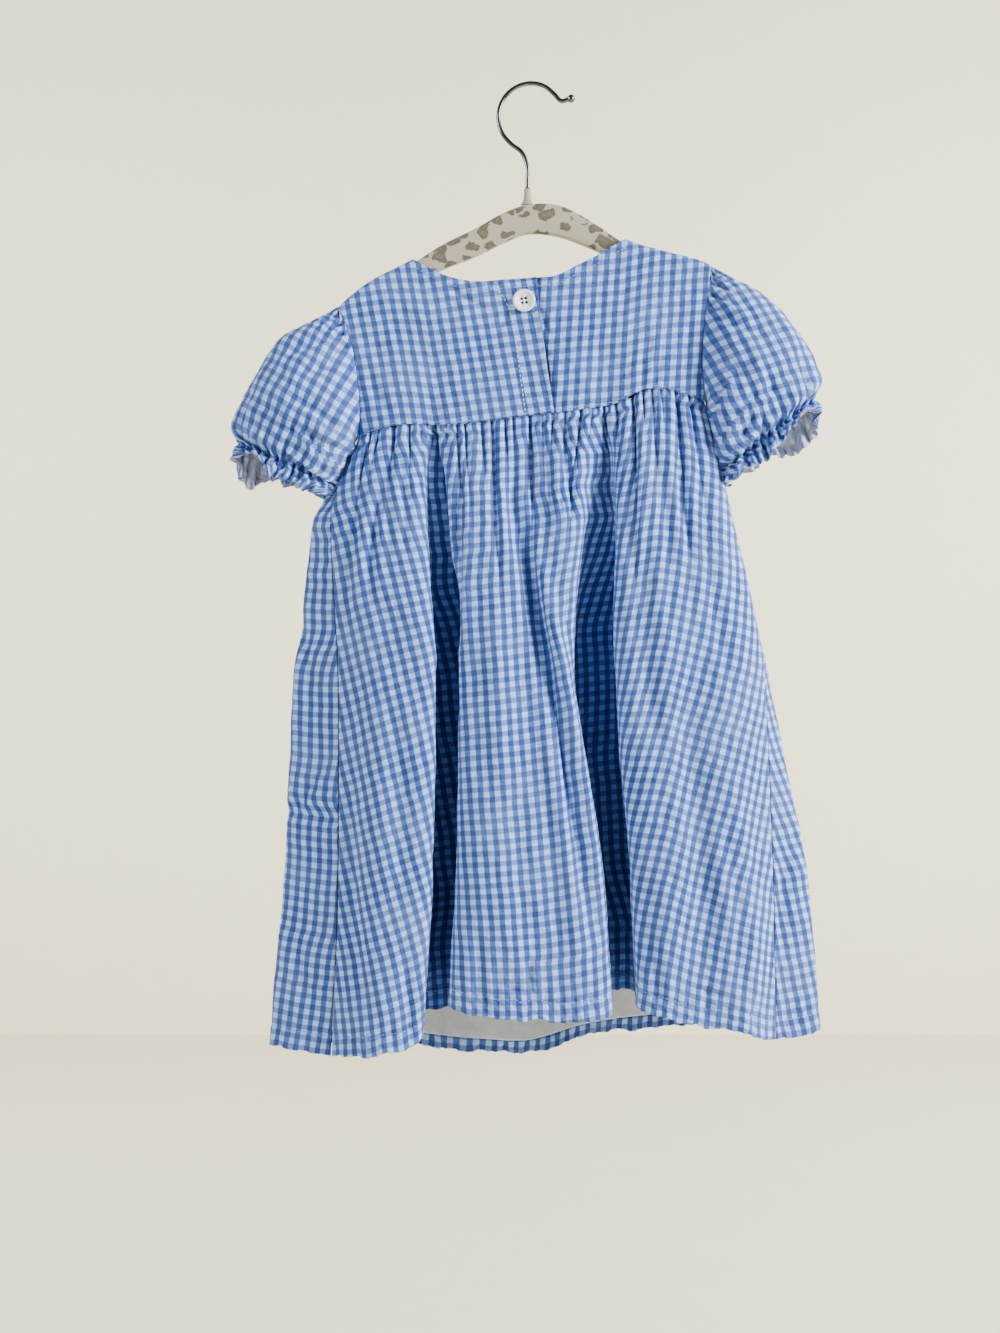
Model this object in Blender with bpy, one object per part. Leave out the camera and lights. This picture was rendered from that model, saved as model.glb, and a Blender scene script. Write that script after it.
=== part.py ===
"""A child's gingham dress on a velvet hanger, hung by its hook and seen from the back.

The origin is the underside of the hook's crown. +X is the right of the photograph, +Y goes
into it, so that the garment's back faces -Y, and +Z is up. The tables are in millimetres,
and make_object turns them into metres.
"""

import math
from collections import namedtuple

import bmesh
import bpy
import numpy as np

MM = 0.001
CURVE_SAMPLES = 300
SMALL_SIDES = 8

# Cloth
WALL = 1.8
LINING_WALL = 1.0
SEAM_GAP = 0.4
LAID_ON_GAP = 0.35

# Hanger: its upper edge, with its lower edge a height below
HANGER_HALF_THICKNESS = 3.0
HANGER_EDGE_ROUNDING = 2.0
HANGER_CLEARANCE = 1.45
Edge = namedtuple("Edge", "x top height")
HANGER_EDGES = [
    Edge(-138, -163.0, 9.0),
    Edge(-129, -152.5, 12.5),
    Edge(-110, -136.5, 14.5),
    Edge(-79, -120.0, 15.5),
    Edge(-60, -108.0, 16.5),
    Edge(-34, -95.0, 19.0),
    Edge(-20, -87.0, 20.0),
    Edge(-2, -80.5, 19.5),
    Edge(20, -81.0, 21.0),
    Edge(34, -87.5, 19.5),
    Edge(47, -95.5, 17.0),
    Edge(62, -105.5, 15.5),
    Edge(92, -115.0, 14.5),
    Edge(118, -122.5, 13.0),
    Edge(134, -134.0, 9.0),
]
HANGER_STATIONS = 34

# Hook: the wire's middle line, from the ball at its tip down to the hanger
WIRE_RADIUS = 1.5
WIRE_RINGS = 49
BALL_RADIUS = 2.7
BALL_PROFILE = [0.35, 0.8, 1.0, 0.9]
HOOK_X = -1.7
Bend = namedtuple("Bend", "x z")
HOOK_LINE = [
    Bend(26.0, -9.2),
    Bend(21.0, -10.4),
    Bend(16.5, -6.0),
    Bend(9.5, -0.4),
    Bend(0.0, 1.5),
    Bend(-9.5, -1.2),
    Bend(-17.5, -8.5),
    Bend(-21.3, -20.5),
    Bend(-19.0, -31.5),
    Bend(-13.0, -39.0),
    Bend(-5.5, -45.0),
    Bend(-2.2, -53.0),
    Bend(HOOK_X, -69.5),
]
COLLAR_TOP = -70.0
COLLAR_TOP_RADIUS = 2.6
COLLAR_FOOT_RADIUS = 2.9
COLLAR_FLARE = 3.5
COLLAR_SIDES = 12

# Button
BUTTON_RADIUS = 7.5
BUTTON_HEIGHT = 2.6
BUTTON_DISH = 0.8
BUTTON_RIM = 1.7
BUTTON_RIM_SLOPE = 0.8
BUTTON_EDGE_ROUNDING = 0.6
BUTTON_BACK_ROUNDING = 1.0
BUTTON_SIDES = 24
BUTTON_HOLES = 4
BUTTON_HOLE_RADIUS = 0.9
BUTTON_HOLE_OFFSET = 1.6
BUTTON_X = -4.2
BUTTON_Z = -146.4

# Yoke: the cloth rounds over the hanger and is this deep below it
OVER_HANGER = WALL + HANGER_CLEARANCE
YOKE_DEPTH = 5.6
UNDERARM_DEPTH = WALL + 0.4
Mark = namedtuple("Mark", "x z")
BACK_NECK = [
    Mark(-78.5, -118.0),
    Mark(-69.0, -123.5),
    Mark(-54.0, -130.0),
    Mark(-38.0, -133.0),
    Mark(-17.0, -132.0),
    Mark(4.0, -130.5),
    Mark(16.0, -129.5),
    Mark(31.0, -122.5),
    Mark(47.0, -114.5),
    Mark(63.5, -104.5),
]
FRONT_NECK = [
    Mark(-78.5, -118.0),
    Mark(-69.0, -131.0),
    Mark(-44.0, -156.0),
    Mark(-8.0, -167.0),
    Mark(28.0, -153.0),
    Mark(55.5, -118.0),
    Mark(63.5, -104.5),
]
LEFT_ARMHOLE = [
    Mark(-128.5, -149.5),
    Mark(-120.5, -170.0),
    Mark(-115.0, -200.0),
    Mark(-114.0, -226.0),
    Mark(-116.0, -238.0),
]
RIGHT_ARMHOLE = [
    Mark(121.0, -121.0),
    Mark(118.5, -143.0),
    Mark(116.0, -163.0),
    Mark(115.0, -187.0),
    Mark(117.5, -213.0),
]
BACK_SLIT = [
    Mark(3.8, -130.5),
    Mark(5.8, -153.0),
    Mark(8.8, -173.0),
    Mark(10.8, -190.5),
    Mark(13.5, -207.0),
    Mark(15.1, -219.5),
]
BACK_SEAM = [
    Mark(-116.0, -238.0),
    Mark(-95.0, -231.0),
    Mark(-45.0, -229.0),
    Mark(-7.0, -224.0),
    Mark(31.0, -219.5),
    Mark(57.0, -215.0),
    Mark(78.0, -205.5),
    Mark(96.0, -207.0),
    Mark(117.5, -213.0),
]
FRONT_SEAM = [
    Mark(-116.0, -238.0),
    Mark(-60.0, -233.0),
    Mark(0.0, -227.0),
    Mark(60.0, -219.0),
    Mark(117.5, -213.0),
]
YOKE_ROWS = [0.0, 0.006, 0.024, 0.055, 0.2, 0.4, 0.6, 0.8, 1.0]
YOKE_COLUMN_WIDTH = 12.0
NECK_COLUMNS = [-2.5, 0.0, 0.9, 2.2, 4.5, 8.5]

# Skirt: ridges and troughs in order round it, from the left side seam over the back to the
# right side seam and home over the front. Each has its x and y at five levels from the yoke
# seam to the hem, its z at the hem, and what lies between it and the next line.
LEVELS = [0.0, 0.13, 0.42, 0.75, 1.0]
Line = namedtuple("Line", "name panel gathers columns seam high middle low hem hem_z")
SKIRT_LINES = [
    Line("left_side_seam", "back", 2, 4, (-116, 0), (-133, -8), (-127, -16), (-127, -20), (-131, -22), -646),
    Line("left_lobe", "back", 3, 4, (-97, -8), (-105, -18), (-95, -30), (-95, -36), (-101, -39), -641),
    Line("left_lobe_edge", "back", 0.5, 4, (-73, -9), (-71, -17), (-64, -28), (-67, -34), (-73, -35), -634),
    Line("deep_fold_a", "back", 0, 2, (-68, -8), (-65, -5), (-59, 1), (-61, 5), (-67, 7), -622),
    Line("deep_fold_a_far", "back", 0.5, 4, (-64, -8), (-60, -5), (-51, 1), (-53, 5), (-59, 7), -621),
    Line("centre_edge", "back", 4, 4, (-59, -9), (-53, -17), (-43, -28), (-44, -35), (-49, -37), -612),
    Line("centre_lobe", "back", 3.5, 5, (-30, -9.5), (-27, -20), (-22, -34), (-23, -41), (-27, -43), -615),
    Line("shallow_fold", "back", 2.5, 3, (-2, -9), (-1, -14), (4, -27), (14, -37), (19, -41), -619),
    Line("centre_lobe_right", "back", 3, 3, (18, -9), (16, -18), (15, -31), (28, -39), (35, -41), -618),
    Line("centre_edge_right", "back", 0.5, 4, (41, -9), (32, -17), (25, -27), (41, -33), (49, -35), -617),
    Line("deep_fold_b", "back", 0, 2, (46, -8), (46, -5), (38, 1), (52, 6), (59, 8), -609),
    Line("deep_fold_b_far", "back", 0.5, 4, (50, -8), (52, -5), (50, 1), (61, 6), (66, 8), -609),
    Line("right_edge_of_b", "back", 3, 4, (58, -9), (60, -16), (59, -28), (68, -34), (71, -35), -614),
    Line("right_lobe", "back", 1.5, 3, (83, -9.5), (85, -19), (85, -33), (88, -40), (88, -41), -616),
    Line("right_crease", "back", 1.5, 4, (97, -8.5), (101, -16), (105, -29), (103, -36), (103, -37), -621),
    Line("right_lobe_side", "back", 1.5, 4, (107, -6), (114, -14), (130, -27), (137, -34), (139, -36), -628),
    Line("right_side_seam", "front", 1, 3, (117.5, 0), (130, -4), (156, -8), (160, -18), (161, -22), -635),
    Line("right_edge", "front", 2, 4, (116, 5), (131.5, 3), (159, 3), (186, -4), (194, -7), -632),
    Line("front_right_side", "front", 1.5, 3, (102, 8), (110, 13), (135, 18), (163, 17), (174, 16), -637),
    Line("front_fold_right", "front", 2.5, 3, (87, 8.5), (91, 11), (100, 12), (120, 14), (128, 14), -635),
    Line("front_lobe_right", "front", 2.5, 4, (62, 9), (64, 17), (70, 22), (80, 24), (84, 25), -639),
    Line("front_fold_b", "front", 3.5, 4, (36, 9), (37, 12), (38, 13), (42, 16), (44, 17), -642),
    Line("front_centre", "front", 3.5, 4, (4, 9.5), (6, 18), (6, 23), (2, 25), (-2, 26), -657),
    Line("front_fold_a", "front", 2.5, 4, (-26, 9), (-28, 12), (-32, 13), (-38, 16), (-40, 17), -653),
    Line("front_lobe_left", "front", 2.5, 4, (-52, 9), (-58, 17), (-66, 22), (-76, 24), (-80, 25), -651),
    Line("front_fold_left", "front", 2, 3, (-76, 8.5), (-84, 11), (-96, 12), (-106, 13), (-111, 13), -647),
    Line("front_left_side", "front", 2, 4, (-97, 8), (-114, 13), (-132, 16), (-144, 16), (-150, 15), -648),
    Line("left_edge", "front", 1, 3, (-115, 5), (-146, 2), (-159, -3), (-166, -5), (-175, -7), -641),
]
GATHER_FADE = [0.0, 0.035, 0.08, 0.14, 0.21]
GATHER_HEIGHT = [1.3, 1.6, 1.1, 0.5, 0.0]
COLUMNS_A_GATHER = 4
GATHER_UNEVENNESS = 0.2
UNGATHERED_BY_SEAM = 0.5
GATHERED_ROWS = [0.0, 0.035, 0.08, 0.14]
PLAIN_ROWS = [0.21, 0.3, 0.4, 0.5, 0.6, 0.7, 0.8, 0.9, 1.0]
LINING_ROWS = [0.86, 0.92, 0.975]

# Sleeves: the outer and inner outline at stations from the armhole, which is station 0, to
# the elastic and the ruffle's edge, with half the sleeve's depth there
Station = namedtuple("Station", "outer_x outer_z inner_x inner_z half_depth")
LEFT_SLEEVE = [
    Station(-145, -157.5, -120.5, -244, 16),
    Station(-163, -167, -125, -250, 21),
    Station(-181, -187, -128, -256, 23),
    Station(-193, -208, -131, -260.5, 21),
    Station(-198.5, -226, -133.5, -264, 17),
    Station(-197, -241, -135, -266.5, 12.5),
    Station(-199, -256, -140, -278, 16),
]
RIGHT_SLEEVE = [
    Station(139, -130.5, 121, -220.5, 16),
    Station(157, -142.5, 124.5, -229.5, 21),
    Station(174, -158, 127, -238.5, 23),
    Station(187, -177, 129, -246.5, 21),
    Station(194, -196, 130.5, -252.5, 17),
    Station(192, -211, 131, -257, 12.5),
    Station(195, -227, 136, -269, 16),
]
SLEEVE_ROWS = [0, 0.4, 1, 2, 3, 4]
CUFF_ROWS = [5, 5.6, 6, 6.5, 7]
CUFF_WAVES = 16
CUFF_WAVE_HEIGHT = [(0, 0.0), (4, 0.0), (5, 0.7), (6, 1.2), (7, 2.4)]
COLUMNS_A_WAVE = 4

Finish = namedtuple("Finish", "colour roughness metallic")
GINGHAM = Finish((0.42, 0.55, 0.80), 0.9, 0.0)
LINING = Finish((0.85, 0.85, 0.88), 0.9, 0.0)
BUTTON_WHITE = Finish((0.86, 0.86, 0.84), 0.3, 0.0)
VELVET = Finish((0.66, 0.62, 0.54), 0.95, 0.0)
CHROME = Finish((0.62, 0.63, 0.64), 0.18, 1.0)


# Curves and meshes


def smooth(points, places):
    """A smooth curve through the points, read at places that count the points from 0."""
    points = np.asarray(points, float)
    places = np.asarray(places, float)
    steps = np.maximum(np.linalg.norm(np.diff(points, axis=0), axis=1), 1e-6)[:, None]
    rates = np.diff(points, axis=0) / steps
    middle = (rates[:-1] * steps[1:] + rates[1:] * steps[:-1]) / (steps[:-1] + steps[1:])
    slopes = np.concatenate([rates[:1], middle, rates[-1:]])
    span = np.clip(np.floor(places).astype(int), 0, len(points) - 2)
    t = (places - span)[:, None]
    length = steps[span]
    start = (1 + 2 * t) * (1 - t) ** 2 * points[span]
    leave = t * (1 - t) ** 2 * length * slopes[span]
    end = t * t * (3 - 2 * t) * points[span + 1]
    arrive = t * t * (t - 1) * length * slopes[span + 1]
    return start + leave + end + arrive


def height_at(marks, x):
    """The z of a curve that runs from left to right through the marks, at each x."""
    line = smooth([(mark[0], mark[1]) for mark in marks], np.linspace(0, len(marks) - 1, CURVE_SAMPLES))
    return np.interp(x, line[:, 0], line[:, 1])


def along(marks, share):
    """The (x, z) points at each share of the way along a curve through the marks."""
    line = smooth([(mark.x, mark.z) for mark in marks], np.linspace(0, len(marks) - 1, CURVE_SAMPLES))
    way = np.concatenate([[0], np.cumsum(np.linalg.norm(np.diff(line, axis=0), axis=1))])
    way /= way[-1]
    return np.stack([np.interp(share, way, line[:, 0]), np.interp(share, way, line[:, 1])], -1)


def make_object(name, points, faces, finish):
    """A closed mesh object, facing out, from points in millimetres."""
    mesh = bpy.data.meshes.new(name)
    mesh.from_pydata((np.asarray(points) * MM).tolist(), [], faces)
    shape = bmesh.new()
    shape.from_mesh(mesh)
    bmesh.ops.recalc_face_normals(shape, faces=shape.faces)
    if shape.calc_volume(signed=True) < 0:
        bmesh.ops.reverse_faces(shape, faces=shape.faces)
    shape.to_mesh(mesh)
    shape.free()
    made = bpy.data.objects.new(name, mesh)
    bpy.context.collection.objects.link(made)
    material = bpy.data.materials.new(name)
    material.use_nodes = True
    shader = material.node_tree.nodes["Principled BSDF"]
    shader.inputs["Base Color"].default_value = (*finish.colour, 1.0)
    shader.inputs["Roughness"].default_value = finish.roughness
    shader.inputs["Metallic"].default_value = finish.metallic
    mesh.materials.append(material)
    return made


def zip_rows(first, first_places, second, second_places):
    """Triangles between two rows of point numbers, which may hold different counts."""
    faces = []
    i = 0
    j = 0
    while i < len(first) - 1 or j < len(second) - 1:
        second_done = j == len(second) - 1
        first_done = i == len(first) - 1
        step_first = second_done or (not first_done and first_places[i + 1] <= second_places[j + 1])
        if step_first:
            faces.append((first[i], second[j], first[i + 1]))
            i += 1
        else:
            faces.append((first[i], second[j], second[j + 1]))
            j += 1
    return faces


def make_wall(name, outer, inner, places, finish, round_length=None):
    """A wall of cloth between two like lists of rows. round_length closes each row on itself."""
    points = []
    numbers = {}
    for side, rows in (("outer", outer), ("inner", inner)):
        for row, values in enumerate(rows):
            start = len(points)
            points.extend(values)
            numbers[side, row] = list(range(start, start + len(values)))
    reach = [list(row) for row in places]
    if round_length:
        for row in numbers.values():
            row.append(row[0])
        for row in reach:
            row.append(row[0] + round_length)
    last = len(outer) - 1
    faces = []
    for row in range(last):
        for side in ("outer", "inner"):
            above = numbers[side, row]
            below = numbers[side, row + 1]
            faces += zip_rows(above, reach[row], below, reach[row + 1])
    for row in (0, last):
        faces += zip_rows(numbers["outer", row], reach[row], numbers["inner", row], reach[row])
    if not round_length:
        levels = list(range(last + 1))
        for end in (0, -1):
            outside = [numbers["outer", row][end] for row in levels]
            inside = [numbers["inner", row][end] for row in levels]
            faces += zip_rows(outside, levels, inside, levels)
    return make_object(name, points, faces, finish)


def make_loft(name, rings, finish):
    """A solid through rings of equal count, closed by a face at each end."""
    count = len(rings[0])
    points = np.concatenate(rings)
    faces = []
    for ring in range(len(rings) - 1):
        for side in range(count):
            here = ring * count + side
            beside = ring * count + (side + 1) % count
            faces.append((here, beside, beside + count, here + count))
    faces.append(tuple(range(count)))
    faces.append(tuple(range(len(points) - count, len(points))))
    return make_object(name, points, faces, finish)


# Hanger


def hanger_top(x):
    return height_at([(edge.x, edge.top) for edge in HANGER_EDGES], x)


def shoulder_line(x):
    """The height of the cloth where it rounds over the hanger."""
    return hanger_top(x) + OVER_HANGER


def make_hanger_body():
    half = HANGER_HALF_THICKNESS
    shoulder = half - HANGER_EDGE_ROUNDING
    rings = []
    for x in np.linspace(HANGER_EDGES[0].x, HANGER_EDGES[-1].x, HANGER_STATIONS):
        top = float(hanger_top(x))
        foot = top - float(height_at([(edge.x, edge.height) for edge in HANGER_EDGES], x))
        upper = top - HANGER_EDGE_ROUNDING
        lower = foot + HANGER_EDGE_ROUNDING
        ring = [(-shoulder, top), (shoulder, top), (half, upper), (half, lower)]
        ring += [(shoulder, foot), (-shoulder, foot), (-half, lower), (-half, upper)]
        rings.append([(x, y, z) for y, z in ring])
    return make_loft("hanger_body", rings, VELVET)


def make_hook():
    line = [(bend.x, bend.z) for bend in HOOK_LINE]
    middle = smooth(line, np.linspace(0, len(line) - 1, WIRE_RINGS))
    ball = [BALL_RADIUS * share for share in BALL_PROFILE]
    tip = middle[0] + (middle[0] - middle[1]) * 0.5
    centres = np.concatenate([[tip + (1.6, 0.3), tip + (0.8, 0.2)], middle])
    radii = ball + [WIRE_RADIUS] * (len(centres) - len(ball))
    rings = []
    for place, (centre, radius) in enumerate(zip(centres, radii)):
        before = centres[max(place - 1, 0)]
        after = centres[min(place + 1, len(centres) - 1)]
        run = (after - before) / np.linalg.norm(after - before)
        side = np.array([-run[1], run[0]])
        ring = []
        for turn in np.arange(SMALL_SIDES) * math.tau / SMALL_SIDES:
            across = side * math.cos(turn) * radius
            ring.append((centre[0] + across[0], math.sin(turn) * radius, centre[1] + across[1]))
        rings.append(ring)
    return make_loft("hanger_hook", rings, CHROME)


def circle(x, z, radius, count):
    """Points round a circle, as pairs."""
    turns = np.arange(count) * math.tau / count
    return [(x + radius * math.cos(turn), z + radius * math.sin(turn)) for turn in turns]


def make_collar():
    foot = float(hanger_top(HOOK_X)) + LAID_ON_GAP
    profile = [
        (COLLAR_TOP_RADIUS, COLLAR_TOP),
        (COLLAR_TOP_RADIUS, foot + COLLAR_FLARE),
        (COLLAR_FOOT_RADIUS, foot),
    ]
    rings = []
    for radius, z in profile:
        rings.append([(x, y, z) for x, y in circle(HOOK_X, 0.0, radius, COLLAR_SIDES)])
    return make_loft("hanger_collar", rings, VELVET)


# Skirt


def seam_height(panel, x):
    return height_at(BACK_SEAM if panel == "back" else FRONT_SEAM, x)


def line_points(level):
    """Where each ridge and trough of the skirt is at one level."""
    station = np.interp(level, LEVELS, range(len(LEVELS)))
    points = []
    for line in SKIRT_LINES:
        flat = smooth([line.seam, line.high, line.middle, line.low, line.hem], [station])[0]
        top = float(seam_height(line.panel, line.seam[0])) - SEAM_GAP
        points.append((flat[0], flat[1], top + (line.hem_z - top) * level))
    return points


def skirt_curve(places, level):
    """Points round the skirt at places that count the table's lines from 0."""
    points = line_points(level)
    wrapped = points[-3:] + points + points[:4]
    return smooth(wrapped, np.asarray(places) + 3)


def skirt_points(places, level, moved=0.0):
    """Points on the skirt, moved out of its smooth form by a distance for each place."""
    near = 0.03
    low = min(level, 1 - near)
    around = skirt_curve(places + near, level) - skirt_curve(places - near, level)
    up = skirt_curve(places, low) - skirt_curve(places, low + near)
    out = np.cross(around, up)
    out /= np.linalg.norm(out, axis=1)[:, None]
    return skirt_curve(places, level) + out * np.reshape(moved, (-1, 1))


def gathers(places, level):
    """How far the gathers stand out at each place of one level."""
    counts = [line.gathers for line in SKIRT_LINES]
    phase = np.interp(places, range(len(counts) + 1), np.concatenate([[0], np.cumsum(counts)]))
    uneven = 1 - GATHER_UNEVENNESS * (1 - np.sin(phase * 2.3))
    names = [line.name for line in SKIRT_LINES]
    seams = [0, names.index("right_side_seam"), len(names)]
    to_seam = np.min([np.abs(places - seam) for seam in seams], axis=0)
    uneven = uneven * np.clip(to_seam / UNGATHERED_BY_SEAM, 0, 1)
    return np.interp(level, GATHER_FADE, GATHER_HEIGHT) * uneven * np.cos(phase * math.tau)


def panel_places(panel, gathered):
    """The places of a panel's columns, a small gap in from its side seams."""
    numbers = [n for n, line in enumerate(SKIRT_LINES) if line.panel == panel]
    places = []
    for number in numbers:
        line = SKIRT_LINES[number]
        count = line.columns
        if gathered:
            count = max(int(line.gathers * COLUMNS_A_GATHER), 2)
        places += [number + step / count for step in range(count)]
    places.append(numbers[-1] + 1)
    return np.array(places, float)


def with_seam_gap(places, level):
    """The places with both ends drawn in by half the gap between panels."""
    near = 0.05
    drawn = places.copy()
    for end, inward in ((0, 1), (-1, -1)):
        start, beyond = skirt_curve([places[end], places[end] + near * inward], level)
        drawn[end] += inward * near * SEAM_GAP / 2 / np.linalg.norm(beyond - start)
    return drawn


def make_skirt_panel(panel):
    outer = []
    inner = []
    places = []
    for level in GATHERED_ROWS + PLAIN_ROWS:
        row = with_seam_gap(panel_places(panel, level in GATHERED_ROWS), level)
        wave = gathers(row, level)
        outer.append(skirt_points(row, level, wave))
        inner.append(skirt_points(row, level, wave - WALL))
        places.append(row)
    return make_wall("skirt_" + panel, outer, inner, places, GINGHAM)


def make_lining():
    """The white lining inside the front's hem, from the left fold to the right one."""
    numbers = [n for n, line in enumerate(SKIRT_LINES) if line.panel == "front"]
    row = panel_places("front", False)
    row = row[(row >= numbers[1]) & (row <= numbers[-1])]
    face = -WALL - LAID_ON_GAP
    outer = [skirt_points(row, level, face) for level in LINING_ROWS]
    inner = [skirt_points(row, level, face - LINING_WALL) for level in LINING_ROWS]
    return make_wall("front_lining", outer, inner, [row] * len(LINING_ROWS), LINING)


# Yoke


def seam_row(face):
    """The x and depth of the skirt's upper edge on one face, from left to right."""
    names = [line.name for line in SKIRT_LINES]
    right = names.index("right_side_seam")
    span = (0, right) if face == "back" else (right, len(names))
    row = skirt_curve(np.linspace(*span, CURVE_SAMPLES), 0.0)
    row = row[np.argsort(row[:, 0])]
    return row[:, 0], np.abs(row[:, 1])


def yoke_shares(left_x, right_x):
    """Where a yoke panel's columns start along its top, closer at the ends of the neck."""
    close = [BACK_NECK[0].x + step for step in NECK_COLUMNS]
    close += [BACK_NECK[-1].x - step for step in NECK_COLUMNS]
    close = [x for x in close if left_x < x < right_x]
    count = round((right_x - left_x) / YOKE_COLUMN_WIDTH)
    even = np.linspace(left_x, right_x, count + 1)
    kept = [x for x in even[1:-1] if min(abs(x - other) for other in close) > YOKE_COLUMN_WIDTH / 3]
    columns = np.array(sorted([left_x, right_x, *kept, *close]))
    return (columns - left_x) / (right_x - left_x)


def yoke_surface(face, left, right):
    """Rows of outer points of a yoke panel between two side curves of (x, z) by share."""
    neck = BACK_NECK if face == "back" else FRONT_NECK
    sign = -1 if face == "back" else 1
    seam_x, seam_depth = seam_row(face)
    across = yoke_shares(left(0)[0], right(0)[0])

    def top(share):
        x = left(0)[0] + (right(0)[0] - left(0)[0]) * share
        inside = (x > neck[0].x) & (x < neck[-1].x)
        return np.stack([x, np.where(inside, height_at(neck, x), shoulder_line(x))], -1)

    def foot(share):
        x = left(1)[0] + (right(1)[0] - left(1)[0]) * share
        return np.stack([x, seam_height(face, x)], -1)

    rows = []
    for down in YOKE_ROWS:
        s = across[:, None]
        edges = (1 - s) * left(down) + s * right(down)
        ends = (1 - down) * top(across) + down * foot(across)
        corners = (1 - down) * ((1 - s) * top(0.0) + s * top(1.0))
        corners = corners + down * ((1 - s) * foot(0.0) + s * foot(1.0))
        flat = edges + ends - corners
        drop = np.clip(shoulder_line(flat[:, 0]) - flat[:, 1], 0, YOKE_DEPTH)
        rounded = np.sqrt(YOKE_DEPTH**2 - (YOKE_DEPTH - drop) ** 2)
        held = np.maximum(np.interp(flat[:, 0], seam_x, seam_depth), UNDERARM_DEPTH)
        depth = rounded * (1 - down**2) + held * down**2
        depth = np.maximum(depth, SEAM_GAP / 2)
        rows.append(np.stack([flat[:, 0], sign * depth, flat[:, 1]], -1))
    return np.array(rows)


def moved_in(rows, distance, outward):
    """Rows moved in by the wall's thickness, square to the surface."""
    across = np.gradient(rows, axis=1)
    down = np.gradient(rows, axis=0)
    square = np.cross(across, down)
    square /= np.linalg.norm(square, axis=2)[:, :, None]
    middle = square[len(rows) // 2, rows.shape[1] // 2]
    if np.dot(middle, outward) < 0:
        square = -square
    moved = rows - square * distance
    own_side = outward[1] * np.maximum(moved[:, :, 1] * outward[1], SEAM_GAP / 2)
    moved[:, :, 1] = own_side
    return moved


def armhole(marks, share):
    """A point of an armhole, whose top lies on the cloth over the hanger."""
    x, z = along(marks, share)
    lift = float(shoulder_line(marks[0].x)) - marks[0].z
    return np.array([x, z + lift * (1 - share) ** 3])


def slit_edge(side):
    """The slit's edge on one side of its gap, as a curve by share."""

    def point(share):
        x, z = along(BACK_SLIT, share)
        x += side * SEAM_GAP / 2
        top = float(height_at(BACK_NECK, x))
        foot = float(seam_height("back", x))
        return np.array([x, z + (top - BACK_SLIT[0].z) * (1 - share) + (foot - BACK_SLIT[-1].z) * share])

    return point


def left_armhole(share):
    return armhole(LEFT_ARMHOLE, share)


def right_armhole(share):
    return armhole(RIGHT_ARMHOLE, share)


YOKE_PANELS = {
    "back_yoke_left": ("back", left_armhole, slit_edge(-1)),
    "back_yoke_right": ("back", slit_edge(1), right_armhole),
    "front_yoke": ("front", left_armhole, right_armhole),
}


def make_yoke_panel(name):
    face, left, right = YOKE_PANELS[name]
    outer = yoke_surface(face, left, right)
    inner = moved_in(outer, WALL, (0, -1 if face == "back" else 1, 0))
    places = [range(outer.shape[1])] * len(YOKE_ROWS)
    return make_wall(name, outer, inner, places, GINGHAM)


# Sleeves


def even_angles(count, half_width, half_depth):
    """Angles round an ellipse that part it into equal lengths."""
    fine = np.linspace(0, math.tau, 2 * CURVE_SAMPLES + 1)
    path = np.stack([half_width * np.cos(fine), half_depth * np.sin(fine)], -1)
    way = np.concatenate([[0], np.cumsum(np.linalg.norm(np.diff(path, axis=0), axis=1))])
    return np.interp(np.arange(count) / count * way[-1], way, fine)


def armhole_ring(angles, edge, outward):
    """The sleeve's first ring, round both faces of the armhole and a seam's gap off it."""
    panels = {
        "back": yoke_surface("back", left_armhole, right_armhole),
        "front": yoke_surface("front", left_armhole, right_armhole),
    }
    column = 0 if outward < 0 else -1
    ring = []
    for angle in angles:
        share = (1 - math.cos(angle)) / 2
        face = "back" if math.sin(angle) >= 0 else "front"
        x, z = edge(share)
        y = np.interp(share, YOKE_ROWS, panels[face][:, column, 1])
        ring.append((x + outward * SEAM_GAP, y, z))
    return np.array(ring)


def sleeve_lines(angles, stations, edge, outward):
    """A row of points down the sleeve for each angle, one at the armhole and at each station."""
    rings = [armhole_ring(angles, edge, outward)]
    for station in stations:
        outer = np.array([station.outer_x, 0.0, station.outer_z])
        inner = np.array([station.inner_x, 0.0, station.inner_z])
        width = np.cos(angles)[:, None] * (outer - inner) / 2
        depth = np.sin(angles)[:, None] * np.array([0.0, -station.half_depth, 0.0])
        rings.append((outer + inner) / 2 + width + depth)
    return np.stack(rings, 1)


def sleeve_ring(lines, outward, place):
    """One ring of the sleeve and its outward directions, at a place that counts stations."""
    near = 0.02
    low = min(place, lines.shape[1] - 1 - near)
    ring, above, below = (
        np.array([smooth(line, [at])[0] for line in lines]) for at in (place, low, low + near)
    )
    around = np.roll(ring, -1, axis=0) - np.roll(ring, 1, axis=0)
    out = np.cross(around, below - above)
    return ring, out * outward / np.linalg.norm(out, axis=1)[:, None]


def make_sleeve(name, stations, edge, outward):
    columns = CUFF_WAVES * COLUMNS_A_WAVE
    cuff = stations[-2]
    half_width = math.hypot(cuff.outer_x - cuff.inner_x, cuff.outer_z - cuff.inner_z) / 2
    angles = even_angles(columns, half_width, cuff.half_depth)
    lines = sleeve_lines(angles, stations, edge, outward)
    wave = np.cos(np.arange(columns) * math.tau / COLUMNS_A_WAVE)
    heights = np.array(CUFF_WAVE_HEIGHT)
    outer = []
    inner = []
    places = []
    for place in SLEEVE_ROWS + CUFF_ROWS:
        step = 1 if place in CUFF_ROWS else 2
        ring, out = sleeve_ring(lines, outward, place)
        stands = (wave * np.interp(place, heights[:, 0], heights[:, 1]))[:, None]
        outer.append((ring + out * stands)[::step])
        inner.append((ring + out * (stands - WALL))[::step])
        places.append(angles[::step])
    return make_wall(name, outer, inner, places, GINGHAM, round_length=math.tau)


# Button


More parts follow.
